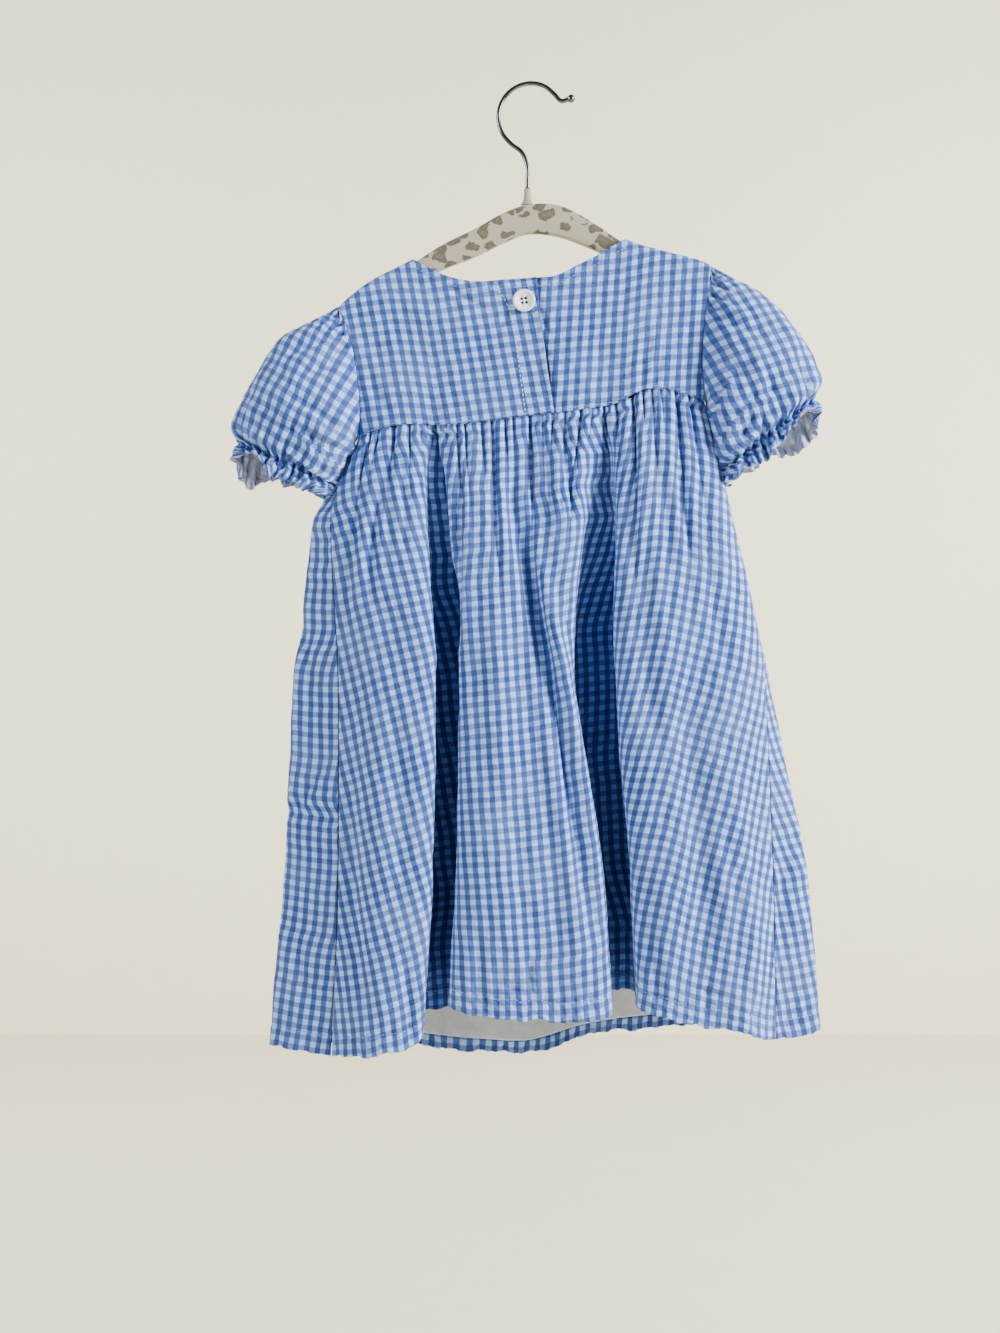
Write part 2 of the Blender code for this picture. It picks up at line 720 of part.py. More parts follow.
def make_button():
    panel = yoke_surface("back", left_armhole, slit_edge(-1))
    flat = panel.reshape(-1, 3)
    away = np.hypot(flat[:, 0] - BUTTON_X, flat[:, 2] - BUTTON_Z)
    back = flat[away < 3 * BUTTON_RADIUS, 1].min() - LAID_ON_GAP
    face = back - BUTTON_HEIGHT
    profile = [
        (BUTTON_RADIUS - BUTTON_BACK_ROUNDING, back),
        (BUTTON_RADIUS, back - BUTTON_BACK_ROUNDING),
        (BUTTON_RADIUS, face + BUTTON_EDGE_ROUNDING),
        (BUTTON_RADIUS - BUTTON_EDGE_ROUNDING, face),
        (BUTTON_RADIUS - BUTTON_RIM, face),
        (BUTTON_RADIUS - BUTTON_RIM - BUTTON_RIM_SLOPE, face + BUTTON_DISH),
    ]
    rings = []
    for radius, y in profile:
        rings.append([(x, y, z) for x, z in circle(BUTTON_X, BUTTON_Z, radius, BUTTON_SIDES)])
    made = make_loft("button", rings, BUTTON_WHITE)
    for hole in range(BUTTON_HOLES):
        angle = (hole + 0.5) * math.tau / BUTTON_HOLES
        hole_x = BUTTON_X + BUTTON_HOLE_OFFSET * math.cos(angle)
        hole_z = BUTTON_Z + BUTTON_HOLE_OFFSET * math.sin(angle)
        rim = circle(hole_x, hole_z, BUTTON_HOLE_RADIUS, SMALL_SIDES)
        ends = [[(x, y, z) for x, z in rim] for y in (back + 1, face - 1)]
        cutter = make_loft("hole_cutter", ends, BUTTON_WHITE)
        cutter.hide_render = True
        cutter.display_type = "WIRE"
        cut = made.modifiers.new("hole", "BOOLEAN")
        cut.object = cutter
        cut.operation = "DIFFERENCE"
        cut.solver = "EXACT"


def main():
    for old in list(bpy.data.objects):
        bpy.data.objects.remove(old)
    make_hook()
    make_collar()
    make_hanger_body()
    for name in YOKE_PANELS:
        make_yoke_panel(name)
    make_sleeve("sleeve_left", LEFT_SLEEVE, left_armhole, -1)
    make_sleeve("sleeve_right", RIGHT_SLEEVE, right_armhole, 1)
    make_skirt_panel("back")
    make_skirt_panel("front")
    make_lining()
    make_button()


main()
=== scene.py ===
"""The look of a child's gingham dress on its velvet hanger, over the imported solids.

The dress hangs with its back to the camera. The tables are in millimetres in the part's own
frame: +X is the right of the photograph, +Y goes into it and +Z is up, from the underside
of the hook's crown. cloth() and new_object() turn them into metres.
"""

import math
from collections import namedtuple

import bmesh
import bpy
import numpy as np
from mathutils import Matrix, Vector


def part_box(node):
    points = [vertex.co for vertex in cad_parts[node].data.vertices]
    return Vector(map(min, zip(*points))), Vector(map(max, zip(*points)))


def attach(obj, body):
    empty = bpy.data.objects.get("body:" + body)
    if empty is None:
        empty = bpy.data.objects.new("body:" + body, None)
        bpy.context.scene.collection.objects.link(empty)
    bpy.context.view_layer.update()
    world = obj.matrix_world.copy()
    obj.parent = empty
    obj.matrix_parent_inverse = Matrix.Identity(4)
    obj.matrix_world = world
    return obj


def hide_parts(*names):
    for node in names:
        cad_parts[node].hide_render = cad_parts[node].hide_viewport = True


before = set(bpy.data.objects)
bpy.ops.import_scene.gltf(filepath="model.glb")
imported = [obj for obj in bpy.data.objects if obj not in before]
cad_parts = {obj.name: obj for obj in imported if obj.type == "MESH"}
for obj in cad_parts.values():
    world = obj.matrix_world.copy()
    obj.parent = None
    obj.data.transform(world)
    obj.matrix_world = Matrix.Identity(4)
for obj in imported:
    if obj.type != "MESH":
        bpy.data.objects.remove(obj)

MM = 0.001


def srgb(red, green, blue):
    """A colour given as a screen shows it, from 0 to 255, as the shader takes it."""
    shown = [channel / 255 for channel in (red, green, blue)]
    linear = [c / 12.92 if c <= 0.04045 else ((c + 0.055) / 1.055) ** 2.4 for c in shown]
    return (*linear, 1.0)


# Cloth: its thickness, seams and bands, the slit, the cuffs and how far stitches lie off it
CLOTH = 0.7
SEAM_GAP = 0.4
HEM_BAND = 12.5
NECK_BAND = 5.8
NECK_FACING = 0.35
LINING_ABOVE_HEM = 9.0
SLIT_LAP = 0.5
SLIT_OPEN = 2.4
CUFF_GATHERS = 24
CUFF_TURNED = 12.0
SEAM_STITCHES = 1.6
STITCH_LIFT = 0.12

# The check, in metres of cloth: a white and a blue stripe each way, and the weave. A
# stripe's soft edge is a share of both stripes.
CHECK_ACROSS = 0.00745
CHECK_DOWN = 0.0071
CHECK_EDGE = 0.035
THREAD = 0.0005

# How the sleeves' checks lie, in degrees
SLEEVE_LEAN = 23
LEFT_SLEEVE_FALL = -32
RIGHT_SLEEVE_RISE = 19

# Base colours, which the studio light brings to those of the photograph
WHITE_CHECK = srgb(172, 208, 255)
MIDDLE_CHECK = srgb(54, 90, 166)
LILAC_CHECK = srgb(98, 124, 196)
DEEP_CHECK = srgb(36, 64, 126)
FADED_CHECK = srgb(150, 178, 230)
WRONG_SIDE = srgb(206, 206, 222)
LINING_WHITE = srgb(205, 210, 218)
LINING_SHADE = srgb(186, 192, 203)
THREAD_WHITE = srgb(240, 242, 248)
THREAD_SHADE = srgb(205, 210, 225)
THREAD_BLUE = srgb(150, 175, 220)
THREAD_DEEP = srgb(90, 125, 185)
CREAM = srgb(160, 154, 134)
CREAM_LIGHT = srgb(178, 172, 152)
SPOT_GREY = srgb(78, 72, 60)
SPOT_HEART = srgb(104, 97, 82)
WIRE_LIGHT = srgb(128, 128, 130)
WIRE_DARK = srgb(66, 67, 69)
BUTTON_LIGHT = srgb(244, 245, 243)
BUTTON_SHADE = srgb(226, 228, 228)
FLOOR_PAINT = srgb(234, 229, 204)
WALL_PAINT = srgb(238, 232, 202)

# The photo's camera, level and square to the wall, and the stage, which is far behind
CAMERA_PLACE = (-0.0202, -0.92, -0.3904)
CAMERA_LENS = 36.97
FLOOR_Z = -1150
FLOOR_NEAR = -5000
FLOOR_FAR = 4000
WALL_Y = 1900
WALL_FOOT = -3000
WALL_TOP = 6000
STAGE_SIDE = 9000

# Hanger: its upper edge, with its lower edge a height below
HANGER_HALF_THICKNESS = 3.0
HANGER_ROUNDING = 2.0
Edge = namedtuple("Edge", "x top height")
HANGER_EDGES = [
    Edge(-138, -163.0, 9.0),
    Edge(-129, -152.5, 12.5),
    Edge(-110, -136.5, 14.5),
    Edge(-79, -120.0, 15.5),
    Edge(-60, -108.0, 16.5),
    Edge(-34, -95.0, 19.0),
    Edge(-20, -87.0, 20.0),
    Edge(-2, -80.5, 19.5),
    Edge(20, -81.0, 21.0),
    Edge(34, -87.5, 19.5),
    Edge(47, -95.5, 17.0),
    Edge(62, -105.5, 15.5),
    Edge(92, -115.0, 14.5),
    Edge(118, -122.5, 13.0),
    Edge(134, -134.0, 9.0),
]

# Hook: the wire's middle line, from the ball at its tip down to the hanger
WIRE_RADIUS = 1.5
BALL_RADIUS = 2.7
HOOK_X = -1.7
Bend = namedtuple("Bend", "x z")
HOOK_LINE = [
    Bend(26.0, -9.2),
    Bend(21.0, -10.4),
    Bend(16.5, -6.0),
    Bend(9.5, -0.4),
    Bend(0.0, 1.5),
    Bend(-9.5, -1.2),
    Bend(-17.5, -8.5),
    Bend(-21.3, -20.5),
    Bend(-19.0, -31.5),
    Bend(-13.0, -39.0),
    Bend(-5.5, -45.0),
    Bend(-2.2, -53.0),
    Bend(HOOK_X, -69.5),
]
COLLAR_TOP = -70.0
COLLAR_RADIUS = 2.5

# Yoke: the cloth rounds over the hanger and is this deep below it
OVER_HANGER = 3.25
YOKE_DEPTH = 5.6
UNDERARM_DEPTH = 2.2
Mark = namedtuple("Mark", "x z")
BACK_NECK = [
    Mark(-78.5, -118.0),
    Mark(-69.0, -123.5),
    Mark(-54.0, -130.0),
    Mark(-38.0, -133.0),
    Mark(-17.0, -132.0),
    Mark(4.0, -130.5),
    Mark(16.0, -129.5),
    Mark(31.0, -122.5),
    Mark(47.0, -114.5),
    Mark(63.5, -104.5),
]
FRONT_NECK = [
    Mark(-78.5, -118.0),
    Mark(-69.0, -131.0),
    Mark(-44.0, -156.0),
    Mark(-8.0, -167.0),
    Mark(28.0, -153.0),
    Mark(55.5, -118.0),
    Mark(63.5, -104.5),
]
LEFT_ARMHOLE = [
    Mark(-128.5, -149.5),
    Mark(-120.5, -170.0),
    Mark(-115.0, -200.0),
    Mark(-114.0, -226.0),
    Mark(-116.0, -238.0),
]
RIGHT_ARMHOLE = [
    Mark(121.0, -121.0),
    Mark(118.5, -143.0),
    Mark(116.0, -163.0),
    Mark(115.0, -187.0),
    Mark(117.5, -213.0),
]
BACK_SLIT = [
    Mark(3.8, -130.5),
    Mark(5.8, -153.0),
    Mark(8.8, -173.0),
    Mark(10.8, -190.5),
    Mark(13.5, -207.0),
    Mark(15.1, -219.5),
]
BACK_SEAM = [
    Mark(-116.0, -238.0),
    Mark(-95.0, -231.0),
    Mark(-45.0, -229.0),
    Mark(-7.0, -224.0),
    Mark(31.0, -219.5),
    Mark(57.0, -215.0),
    Mark(78.0, -205.5),
    Mark(96.0, -207.0),
    Mark(117.5, -213.0),
]
FRONT_SEAM = [
    Mark(-116.0, -238.0),
    Mark(-60.0, -233.0),
    Mark(0.0, -227.0),
    Mark(60.0, -219.0),
    Mark(117.5, -213.0),
]
# Skirt: ridges and troughs in order round it, from the left side seam over the back to the
# right side seam and home over the front. Each has its x and y at five levels from the yoke
# seam to the hem, its z at the hem, and what lies between it and the next line.
LEVELS = [0.0, 0.13, 0.42, 0.75, 1.0]
Line = namedtuple("Line", "name panel gathers columns seam high middle low hem hem_z")
SKIRT_LINES = [
    Line("left_side_seam", "back", 2, 4, (-116, 0), (-133, -8), (-127, -16), (-127, -20), (-131, -22), -646),
    Line("left_lobe", "back", 3, 4, (-97, -8), (-105, -18), (-95, -30), (-95, -36), (-101, -39), -641),
    Line("left_lobe_edge", "back", 0.5, 4, (-73, -9), (-71, -17), (-64, -28), (-67, -34), (-73, -35), -634),
    Line("deep_fold_a", "back", 0, 2, (-68, -8), (-65, -5), (-59, 1), (-61, 5), (-67, 7), -622),
    Line("deep_fold_a_far", "back", 0.5, 4, (-64, -8), (-60, -5), (-51, 1), (-53, 5), (-59, 7), -621),
    Line("centre_edge", "back", 4, 4, (-59, -9), (-53, -17), (-43, -28), (-44, -35), (-49, -37), -612),
    Line("centre_lobe", "back", 3.5, 5, (-30, -9.5), (-27, -20), (-22, -34), (-23, -41), (-27, -43), -615),
    Line("shallow_fold", "back", 2.5, 3, (-2, -9), (-1, -14), (4, -27), (14, -37), (19, -41), -619),
    Line("centre_lobe_right", "back", 3, 3, (18, -9), (16, -18), (15, -31), (28, -39), (35, -41), -618),
    Line("centre_edge_right", "back", 0.5, 4, (41, -9), (32, -17), (25, -27), (41, -33), (49, -35), -617),
    Line("deep_fold_b", "back", 0, 2, (46, -8), (46, -5), (38, 1), (52, 6), (59, 8), -609),
    Line("deep_fold_b_far", "back", 0.5, 4, (50, -8), (52, -5), (50, 1), (61, 6), (66, 8), -609),
    Line("right_edge_of_b", "back", 3, 4, (58, -9), (60, -16), (59, -28), (68, -34), (71, -35), -614),
    Line("right_lobe", "back", 1.5, 3, (83, -9.5), (85, -19), (85, -33), (88, -40), (88, -41), -616),
    Line("right_crease", "back", 1.5, 4, (97, -8.5), (101, -16), (105, -29), (103, -36), (103, -37), -621),
    Line("right_lobe_side", "back", 1.5, 4, (107, -6), (114, -14), (130, -27), (137, -34), (139, -36), -628),
    Line("right_side_seam", "front", 1, 3, (117.5, 0), (130, -4), (156, -8), (160, -18), (161, -22), -635),
    Line("right_edge", "front", 2, 4, (116, 5), (131.5, 3), (159, 3), (186, -4), (194, -7), -632),
    Line("front_right_side", "front", 1.5, 3, (102, 8), (110, 13), (135, 18), (163, 17), (174, 16), -637),
    Line("front_fold_right", "front", 2.5, 3, (87, 8.5), (91, 11), (100, 12), (120, 14), (128, 14), -635),
    Line("front_lobe_right", "front", 2.5, 4, (62, 9), (64, 17), (70, 22), (80, 24), (84, 25), -639),
    Line("front_fold_b", "front", 3.5, 4, (36, 9), (37, 12), (38, 13), (42, 16), (44, 17), -642),
    Line("front_centre", "front", 3.5, 4, (4, 9.5), (6, 18), (6, 23), (2, 25), (-2, 26), -657),
    Line("front_fold_a", "front", 2.5, 4, (-26, 9), (-28, 12), (-32, 13), (-38, 16), (-40, 17), -653),
    Line("front_lobe_left", "front", 2.5, 4, (-52, 9), (-58, 17), (-66, 22), (-76, 24), (-80, 25), -651),
    Line("front_fold_left", "front", 2, 3, (-76, 8.5), (-84, 11), (-96, 12), (-106, 13), (-111, 13), -647),
    Line("front_left_side", "front", 2, 4, (-97, 8), (-114, 13), (-132, 16), (-144, 16), (-150, 15), -648),
    Line("left_edge", "front", 1, 3, (-115, 5), (-146, 2), (-159, -3), (-166, -5), (-175, -7), -641),
]
# Gathers: the valleys in the back's upper edge by x, with their depth and how far down each
# is still deep. The front has the same sorts of valley, spaced by its lines.
Gather = namedtuple("Gather", "x depth length")
BACK_GATHERS = [
    Gather(-116.0, 2.5, 12),
    Gather(-111.0, 3.0, 16),
    Gather(-106.0, 4.5, 26),
    Gather(-100.5, 3.5, 18),
    Gather(-90.0, 6.0, 34),
    Gather(-80.0, 4.5, 22),
    Gather(-73.5, 3.0, 14),
    Gather(-63.5, 7.5, 60),
    Gather(-55.5, 3.0, 14),
    Gather(-48.5, 6.5, 40),
    Gather(-43.5, 4.5, 30),
    Gather(-32.0, 5.0, 24),
    Gather(-25.5, 6.5, 52),
    Gather(-16.5, 4.5, 22),
    Gather(-11.5, 3.5, 16),
    Gather(0.0, 7.0, 56),
    Gather(8.5, 4.5, 22),
    Gather(14.5, 4.0, 20),
    Gather(24.0, 5.5, 30),
    Gather(34.5, 6.5, 44),
    Gather(41.5, 3.0, 14),
    Gather(49.5, 7.5, 70),
    Gather(57.5, 4.5, 24),
    Gather(68.5, 6.5, 56),
    Gather(75.0, 3.0, 16),
    Gather(81.5, 5.5, 34),
    Gather(87.0, 4.0, 20),
    Gather(97.5, 6.0, 40),
    Gather(106.5, 5.0, 30),
    Gather(113.0, 3.0, 16),
]

# How the back's checks lie at levels from the seam to the hem, in degrees: columns lean to
# the centre on their way down and rows rise to the centre, by lobe
Grain = namedtuple("Grain", "level left_lean left_rise centre_lean centre_rise right_lean right_rise")
GRAIN = [
    Grain(0.00, 8, 3, 0, 1, 3, 0),
    Grain(0.13, 15, 3, 2, 3, 5, 1),
    Grain(0.30, 15, 6, 3, 6, 9, 3),
    Grain(0.50, 12, 13, 4, 9, 16, 8),
    Grain(0.80, 16, 11, 5, 10, 14, 10),
    Grain(1.00, 6, 4, 2, 4, 5, 4),
]

# The skirt's length and seeds, and places along it: where its grain is upright, and the
# lobes that lean with the walls of the dark folds that part them from it
SKIRT_LENGTH = 405.0
BACK_SEED = 1.0
FRONT_SEED = 4.0
BACK_CENTRE = 6.5
FRONT_CENTRE = 22.0
LEFT_LOBE = 1.2
RIGHT_LOBE = 13.2
LEFT_WALL = (2.15, 2.9)
RIGHT_WALL = (11.1, 11.85)
STRIP = (22.0, 27.0)
STRIP_LEAN = -0.16

# The dark folds, by place: how much deeper the cloth lies than its solid and the levels
# between which that begins, those between which it ends, what is left of it at the hem,
# and the painted shade on the cloth inside, a tint that darkens its colour where the
# fold lies in shade
Fold = namedtuple("Fold", "start end deeper levels")
DARK_FOLDS = [Fold(2.3, 4.7, 10.0, (0.04, 0.36)), Fold(9.3, 11.7, 8.5, (0.06, 0.42))]
FOLDS_END = (0.78, 0.95)
FOLD_AT_HEM = 0.25
PAINTED_SHADE_TINT = (0.30, 0.43, 0.68)

# Checks run straight from this level to the hem, and from this one to the front's seam.
# The skirt's relief fades this near its side seams, where the panels meet.
CALM_LEVEL = 0.9
FRONT_CALM_LEVEL = 0.1
MEETING_WIDTH = 9.0

# Sleeves: the outer and inner outline at stations from the armhole, which is station 0, to
# the elastic and the ruffle's edge, with half the sleeve's depth there
Station = namedtuple("Station", "outer_x outer_z inner_x inner_z half_depth")
LEFT_SLEEVE = [
    Station(-145, -157.5, -120.5, -244, 16),
    Station(-163, -167, -125, -250, 21),
    Station(-181, -187, -128, -256, 23),
    Station(-193, -208, -131, -260.5, 21),
    Station(-198.5, -226, -133.5, -264, 17),
    Station(-197, -241, -135, -266.5, 12.5),
    Station(-199, -256, -140, -278, 16),
]
RIGHT_SLEEVE = [
    Station(139, -130.5, 121, -220.5, 16),
    Station(157, -142.5, 124.5, -229.5, 21),
    Station(174, -158, 127, -238.5, 23),
    Station(187, -177, 129, -246.5, 21),
    Station(194, -196, 130.5, -252.5, 17),
    Station(192, -211, 131, -257, 12.5),
    Station(195, -227, 136, -269, 16),
]

# The button's four holes
BUTTON_HOLE_OFFSET = 1.95
BUTTON_HOLE_RADIUS = 1.1

# Creases: each runs from one point to another, bends a little on the way,
# and is a trough where its height is negative
Crease = namedtuple("Crease", "from_x from_z to_x to_z width height bend")
BACK_SKIRT_CREASES = [
    Crease(-95, -250, -106, -352, 3.2, -3.2, 3),
    Crease(-88, -246, -84, -318, 2.6, -2.2, -3),
    Crease(-112, -262, -122, -372, 4.0, -2.0, 2),
    Crease(-46, -252, -47, -380, 2.8, -4.0, 1),
    Crease(-24, -244, -20, -338, 2.6, -3.0, 2),
    Crease(-14, -240, -12, -300, 2.6, -1.8, -2),
    Crease(-17, -258, 42, -578, 5.0, -6.2, -2.5),
    Crease(-7, -260, 50, -560, 4.0, 2.6, -2.5),
    Crease(8, -236, 12, -300, 2.6, -2.2, -2),
    Crease(24, -228, 30, -300, 2.8, -3.0, 2),
    Crease(-34, -330, -30, -470, 7.0, -1.8, 3),
    Crease(-8, -460, 4, -600, 6.0, -1.8, 4),
    Crease(70, -225, 66, -340, 3.4, -2.8, 3),
    Crease(80, -222, 90, -372, 4.2, -2.4, -4),
    Crease(97, -222, 108, -330, 3.2, -2.8, 3),
    Crease(112, -250, 136, -420, 5.0, -2.4, 5),
    Crease(74, -300, 84, -470, 6.5, -2.4, 4),
    Crease(96, -400, 112, -600, 7.0, -2.8, -6),
    Crease(120, -470, 138, -610, 5.0, -2.0, -4),
    Crease(-118, -430, -104, -632, 6.0, -2.4, 6),
    Crease(-92, -400, -86, -560, 6.0, -2.0, -4),
    Crease(-84, -560, -80, -634, 4.0, -2.0, -2),
    Crease(-1.5, -577, 1, -605, 2.2, -3.0, 0),
    Crease(-16, -597, -2, -599, 1.7, -2.0, 0),
    Crease(-34, -560, -30, -612, 3.6, -1.8, 2),
    Crease(76, -560, 80, -612, 3.4, -2.0, -2),
    Crease(116, -590, 112, -624, 3.0, -2.2, 1),
    Crease(104, -600, 126, -606, 2.4, -1.8, -2),
]
FRONT_SKIRT_CREASES = [
    Crease(-166, -492, -138, -452, 3.4, -3.0, 3),
    Crease(-160, -340, -146, -420, 4.2, -2.1, -3),
    Crease(-158, -560, -140, -625, 4.0, -1.9, 3),
    Crease(176, -500, 160, -600, 4.4, -2.1, 3),
    Crease(60, -240, 70, -350, 3.4, -2.9, 3),
    Crease(20, -240, 14, -330, 3.0, -2.9, -3),
    Crease(-40, -244, -46, -340, 3.2, -2.7, 3),
    Crease(-88, -250, -102, -360, 3.6, -2.6, 3),
    Crease(94, -236, 112, -370, 4.0, -2.6, -4),
    Crease(-10, -400, -24, -560, 6.0, -2.4, 6),
    Crease(56, -430, 66, -580, 6.0, -2.2, -5),
]
BACK_YOKE_CREASES = [
    Crease(82, -164, 74, -212, 3.0, -1.3, 2),
    Crease(88, -176, 80, -208, 2.4, -1.0, -1),
    Crease(-58, -134, -26, -152, 2.0, -1.4, 2),
    Crease(-11, -150, -22, -168, 2.2, -1.4, 1),
    Crease(8, -142, 24, -132, 1.8, -1.4, 0),
    Crease(8, -152, 14, -170, 1.8, -1.2, 1),
    Crease(-13, -140, -30, -134, 1.8, -1.0, 0),
    Crease(-108, -190, -92, -226, 3.0, -1.4, 2),
    Crease(108, -160, 104, -200, 3.0, -1.2, 2),
    Crease(-116, -170, -92, -176, 3.0, -1.0, 3),
]
FRONT_YOKE_CREASES = [
    Crease(-92, -150, -84, -222, 3.0, -1.5, 3),
    Crease(84, -140, 80, -208, 3.0, -1.5, -3),
    Crease(-20, -172, -40, -220, 3.0, -1.2, 3),
]
LEFT_SLEEVE_CREASES = [
    Crease(-126, -236, -160, -214, 3.4, -3.7, 4),
    Crease(-128, -248, -172, -232, 3.0, -3.1, 3),
    Crease(-140, -252, -150, -226, 2.6, -2.5, 1),
    Crease(-124, -178, -152, -198, 3.6, -2.2, -4),
    Crease(-132, -166, -166, -182, 3.4, -2.0, -3),
]
RIGHT_SLEEVE_CREASES = [
    Crease(122, -206, 150, -190, 3.2, -3.4, -3),
    Crease(128, -228, 166, -206, 3.0, -3.1, -3),
    Crease(134, -244, 150, -222, 2.6, -2.7, 0),
    Crease(122, -152, 156, -172, 3.4, -2.0, 3),
]
# The line of stitches along the slit's facing
FACING_LINE = [
    Mark(-23.0, -133.0),
    Mark(-16.0, -146.0),
    Mark(-11.5, -160.0),
    Mark(-7.5, -192.0),
    Mark(-3.5, -224.0),
]

# Curves


def smooth(points, places):
    """A smooth curve through the points, read at places that count the points from 0."""
    points = np.asarray(points, float)
    places = np.asarray(places, float)
    steps = np.maximum(np.linalg.norm(np.diff(points, axis=0), axis=1), 1e-6)[:, None]
    rates = np.diff(points, axis=0) / steps
    middle = (rates[:-1] * steps[1:] + rates[1:] * steps[:-1]) / (steps[:-1] + steps[1:])
    slopes = np.concatenate([rates[:1], middle, rates[-1:]])
    span = np.clip(np.floor(places).astype(int), 0, len(points) - 2)
    t = (places - span)[:, None]
    length = steps[span]
    start = (1 + 2 * t) * (1 - t) ** 2 * points[span]
    leave = t * (1 - t) ** 2 * length * slopes[span]
    end = t * t * (3 - 2 * t) * points[span + 1]
    arrive = t * t * (t - 1) * length * slopes[span + 1]
    return start + leave + end + arrive


def height_at(marks, x):
    """The z of a curve that runs from left to right through the marks, at each x."""
    line = smooth([(mark[0], mark[1]) for mark in marks], np.linspace(0, len(marks) - 1, 300))
    return np.interp(x, line[:, 0], line[:, 1])


def along(marks, share):
    """The (x, z) points at each share of the way along a curve through the marks."""
    line = smooth([(mark.x, mark.z) for mark in marks], np.linspace(0, len(marks) - 1, 300))
    way = np.concatenate([[0], np.cumsum(np.linalg.norm(np.diff(line, axis=0), axis=1))])
    way /= way[-1]
    return np.stack([np.interp(share, way, line[:, 0]), np.interp(share, way, line[:, 1])], -1)


def turns(count):
    """Angles that part a full turn evenly."""
    return np.arange(count) / count * math.tau


def circle(x, z, y, radius, count):
    return [(x + radius * math.cos(turn), y, z + radius * math.sin(turn)) for turn in turns(count)]


def ease(value, low, high):
    """0 below low, 1 above high and a smooth rise between."""
    t = np.clip((value - low) / (high - low), 0, 1)
    return t * t * (3 - 2 * t)


def wander(place, seed, pace=1.0):
    """A smooth uneven wave between about -1 and 1."""
    a = np.sin(pace * place * 1.00 + seed * 1.7)
    b = np.sin(pace * place * 2.31 + seed * 3.1)
    c = np.sin(pace * place * 4.17 + seed * 5.3)
    return 0.5 * a + 0.3 * b + 0.2 * c


def lengths_along(grid, axis):
    """The distance covered along one axis of a grid of points, starting at 0."""
    steps = np.linalg.norm(np.diff(grid, axis=axis), axis=2)
    pad = [(0, 0), (0, 0)]
    pad[axis] = (1, 0)
    return np.pad(np.cumsum(steps, axis=axis), pad)


def outward(grid, closed=False):
    """The direction square to a grid whose rows run down and whose columns run round."""
    if closed:
        around = np.roll(grid, -1, axis=1) - np.roll(grid, 1, axis=1)
    else:
        around = np.gradient(grid, axis=1)
    out = np.cross(around, -np.gradient(grid, axis=0))
    return out / np.maximum(np.linalg.norm(out, axis=2), 1e-9)[:, :, None]


def creased(grid, table):
    """How far hand-placed creases stand out of a grid, by its x and z."""
    x = grid[..., 0]
    z = grid[..., 2]
    total = np.zeros(x.shape)
    for crease in table:
        run = np.array([crease.to_x - crease.from_x, crease.to_z - crease.from_z])
        length = np.hypot(*run)
        run = run / length
        share = ((x - crease.from_x) * run[0] + (z - crease.from_z) * run[1]) / length
        across = (z - crease.from_z) * run[0] - (x - crease.from_x) * run[1]
        across = across + crease.bend * np.sin(math.pi * np.clip(share, 0, 1))
        taper = np.sin(math.pi * np.clip(share, 0, 1)) ** 0.8
        core = np.exp(-((across / crease.width) ** 2))
        beside = np.exp(-(((np.abs(across) - 1.9 * crease.width) / crease.width) ** 2))
        total += crease.height * taper * (core - 0.3 * beside)
    return total


# Meshes


def new_object(name, points, faces, smooth_faces=True):
    mesh = bpy.data.meshes.new(name)
    mesh.from_pydata((np.asarray(points, float) * MM).tolist(), [], faces)
    mesh.polygons.foreach_set("use_smooth", [smooth_faces] * len(mesh.polygons))
    made = bpy.data.objects.new(name, mesh)
    bpy.context.collection.objects.link(made)
    return made


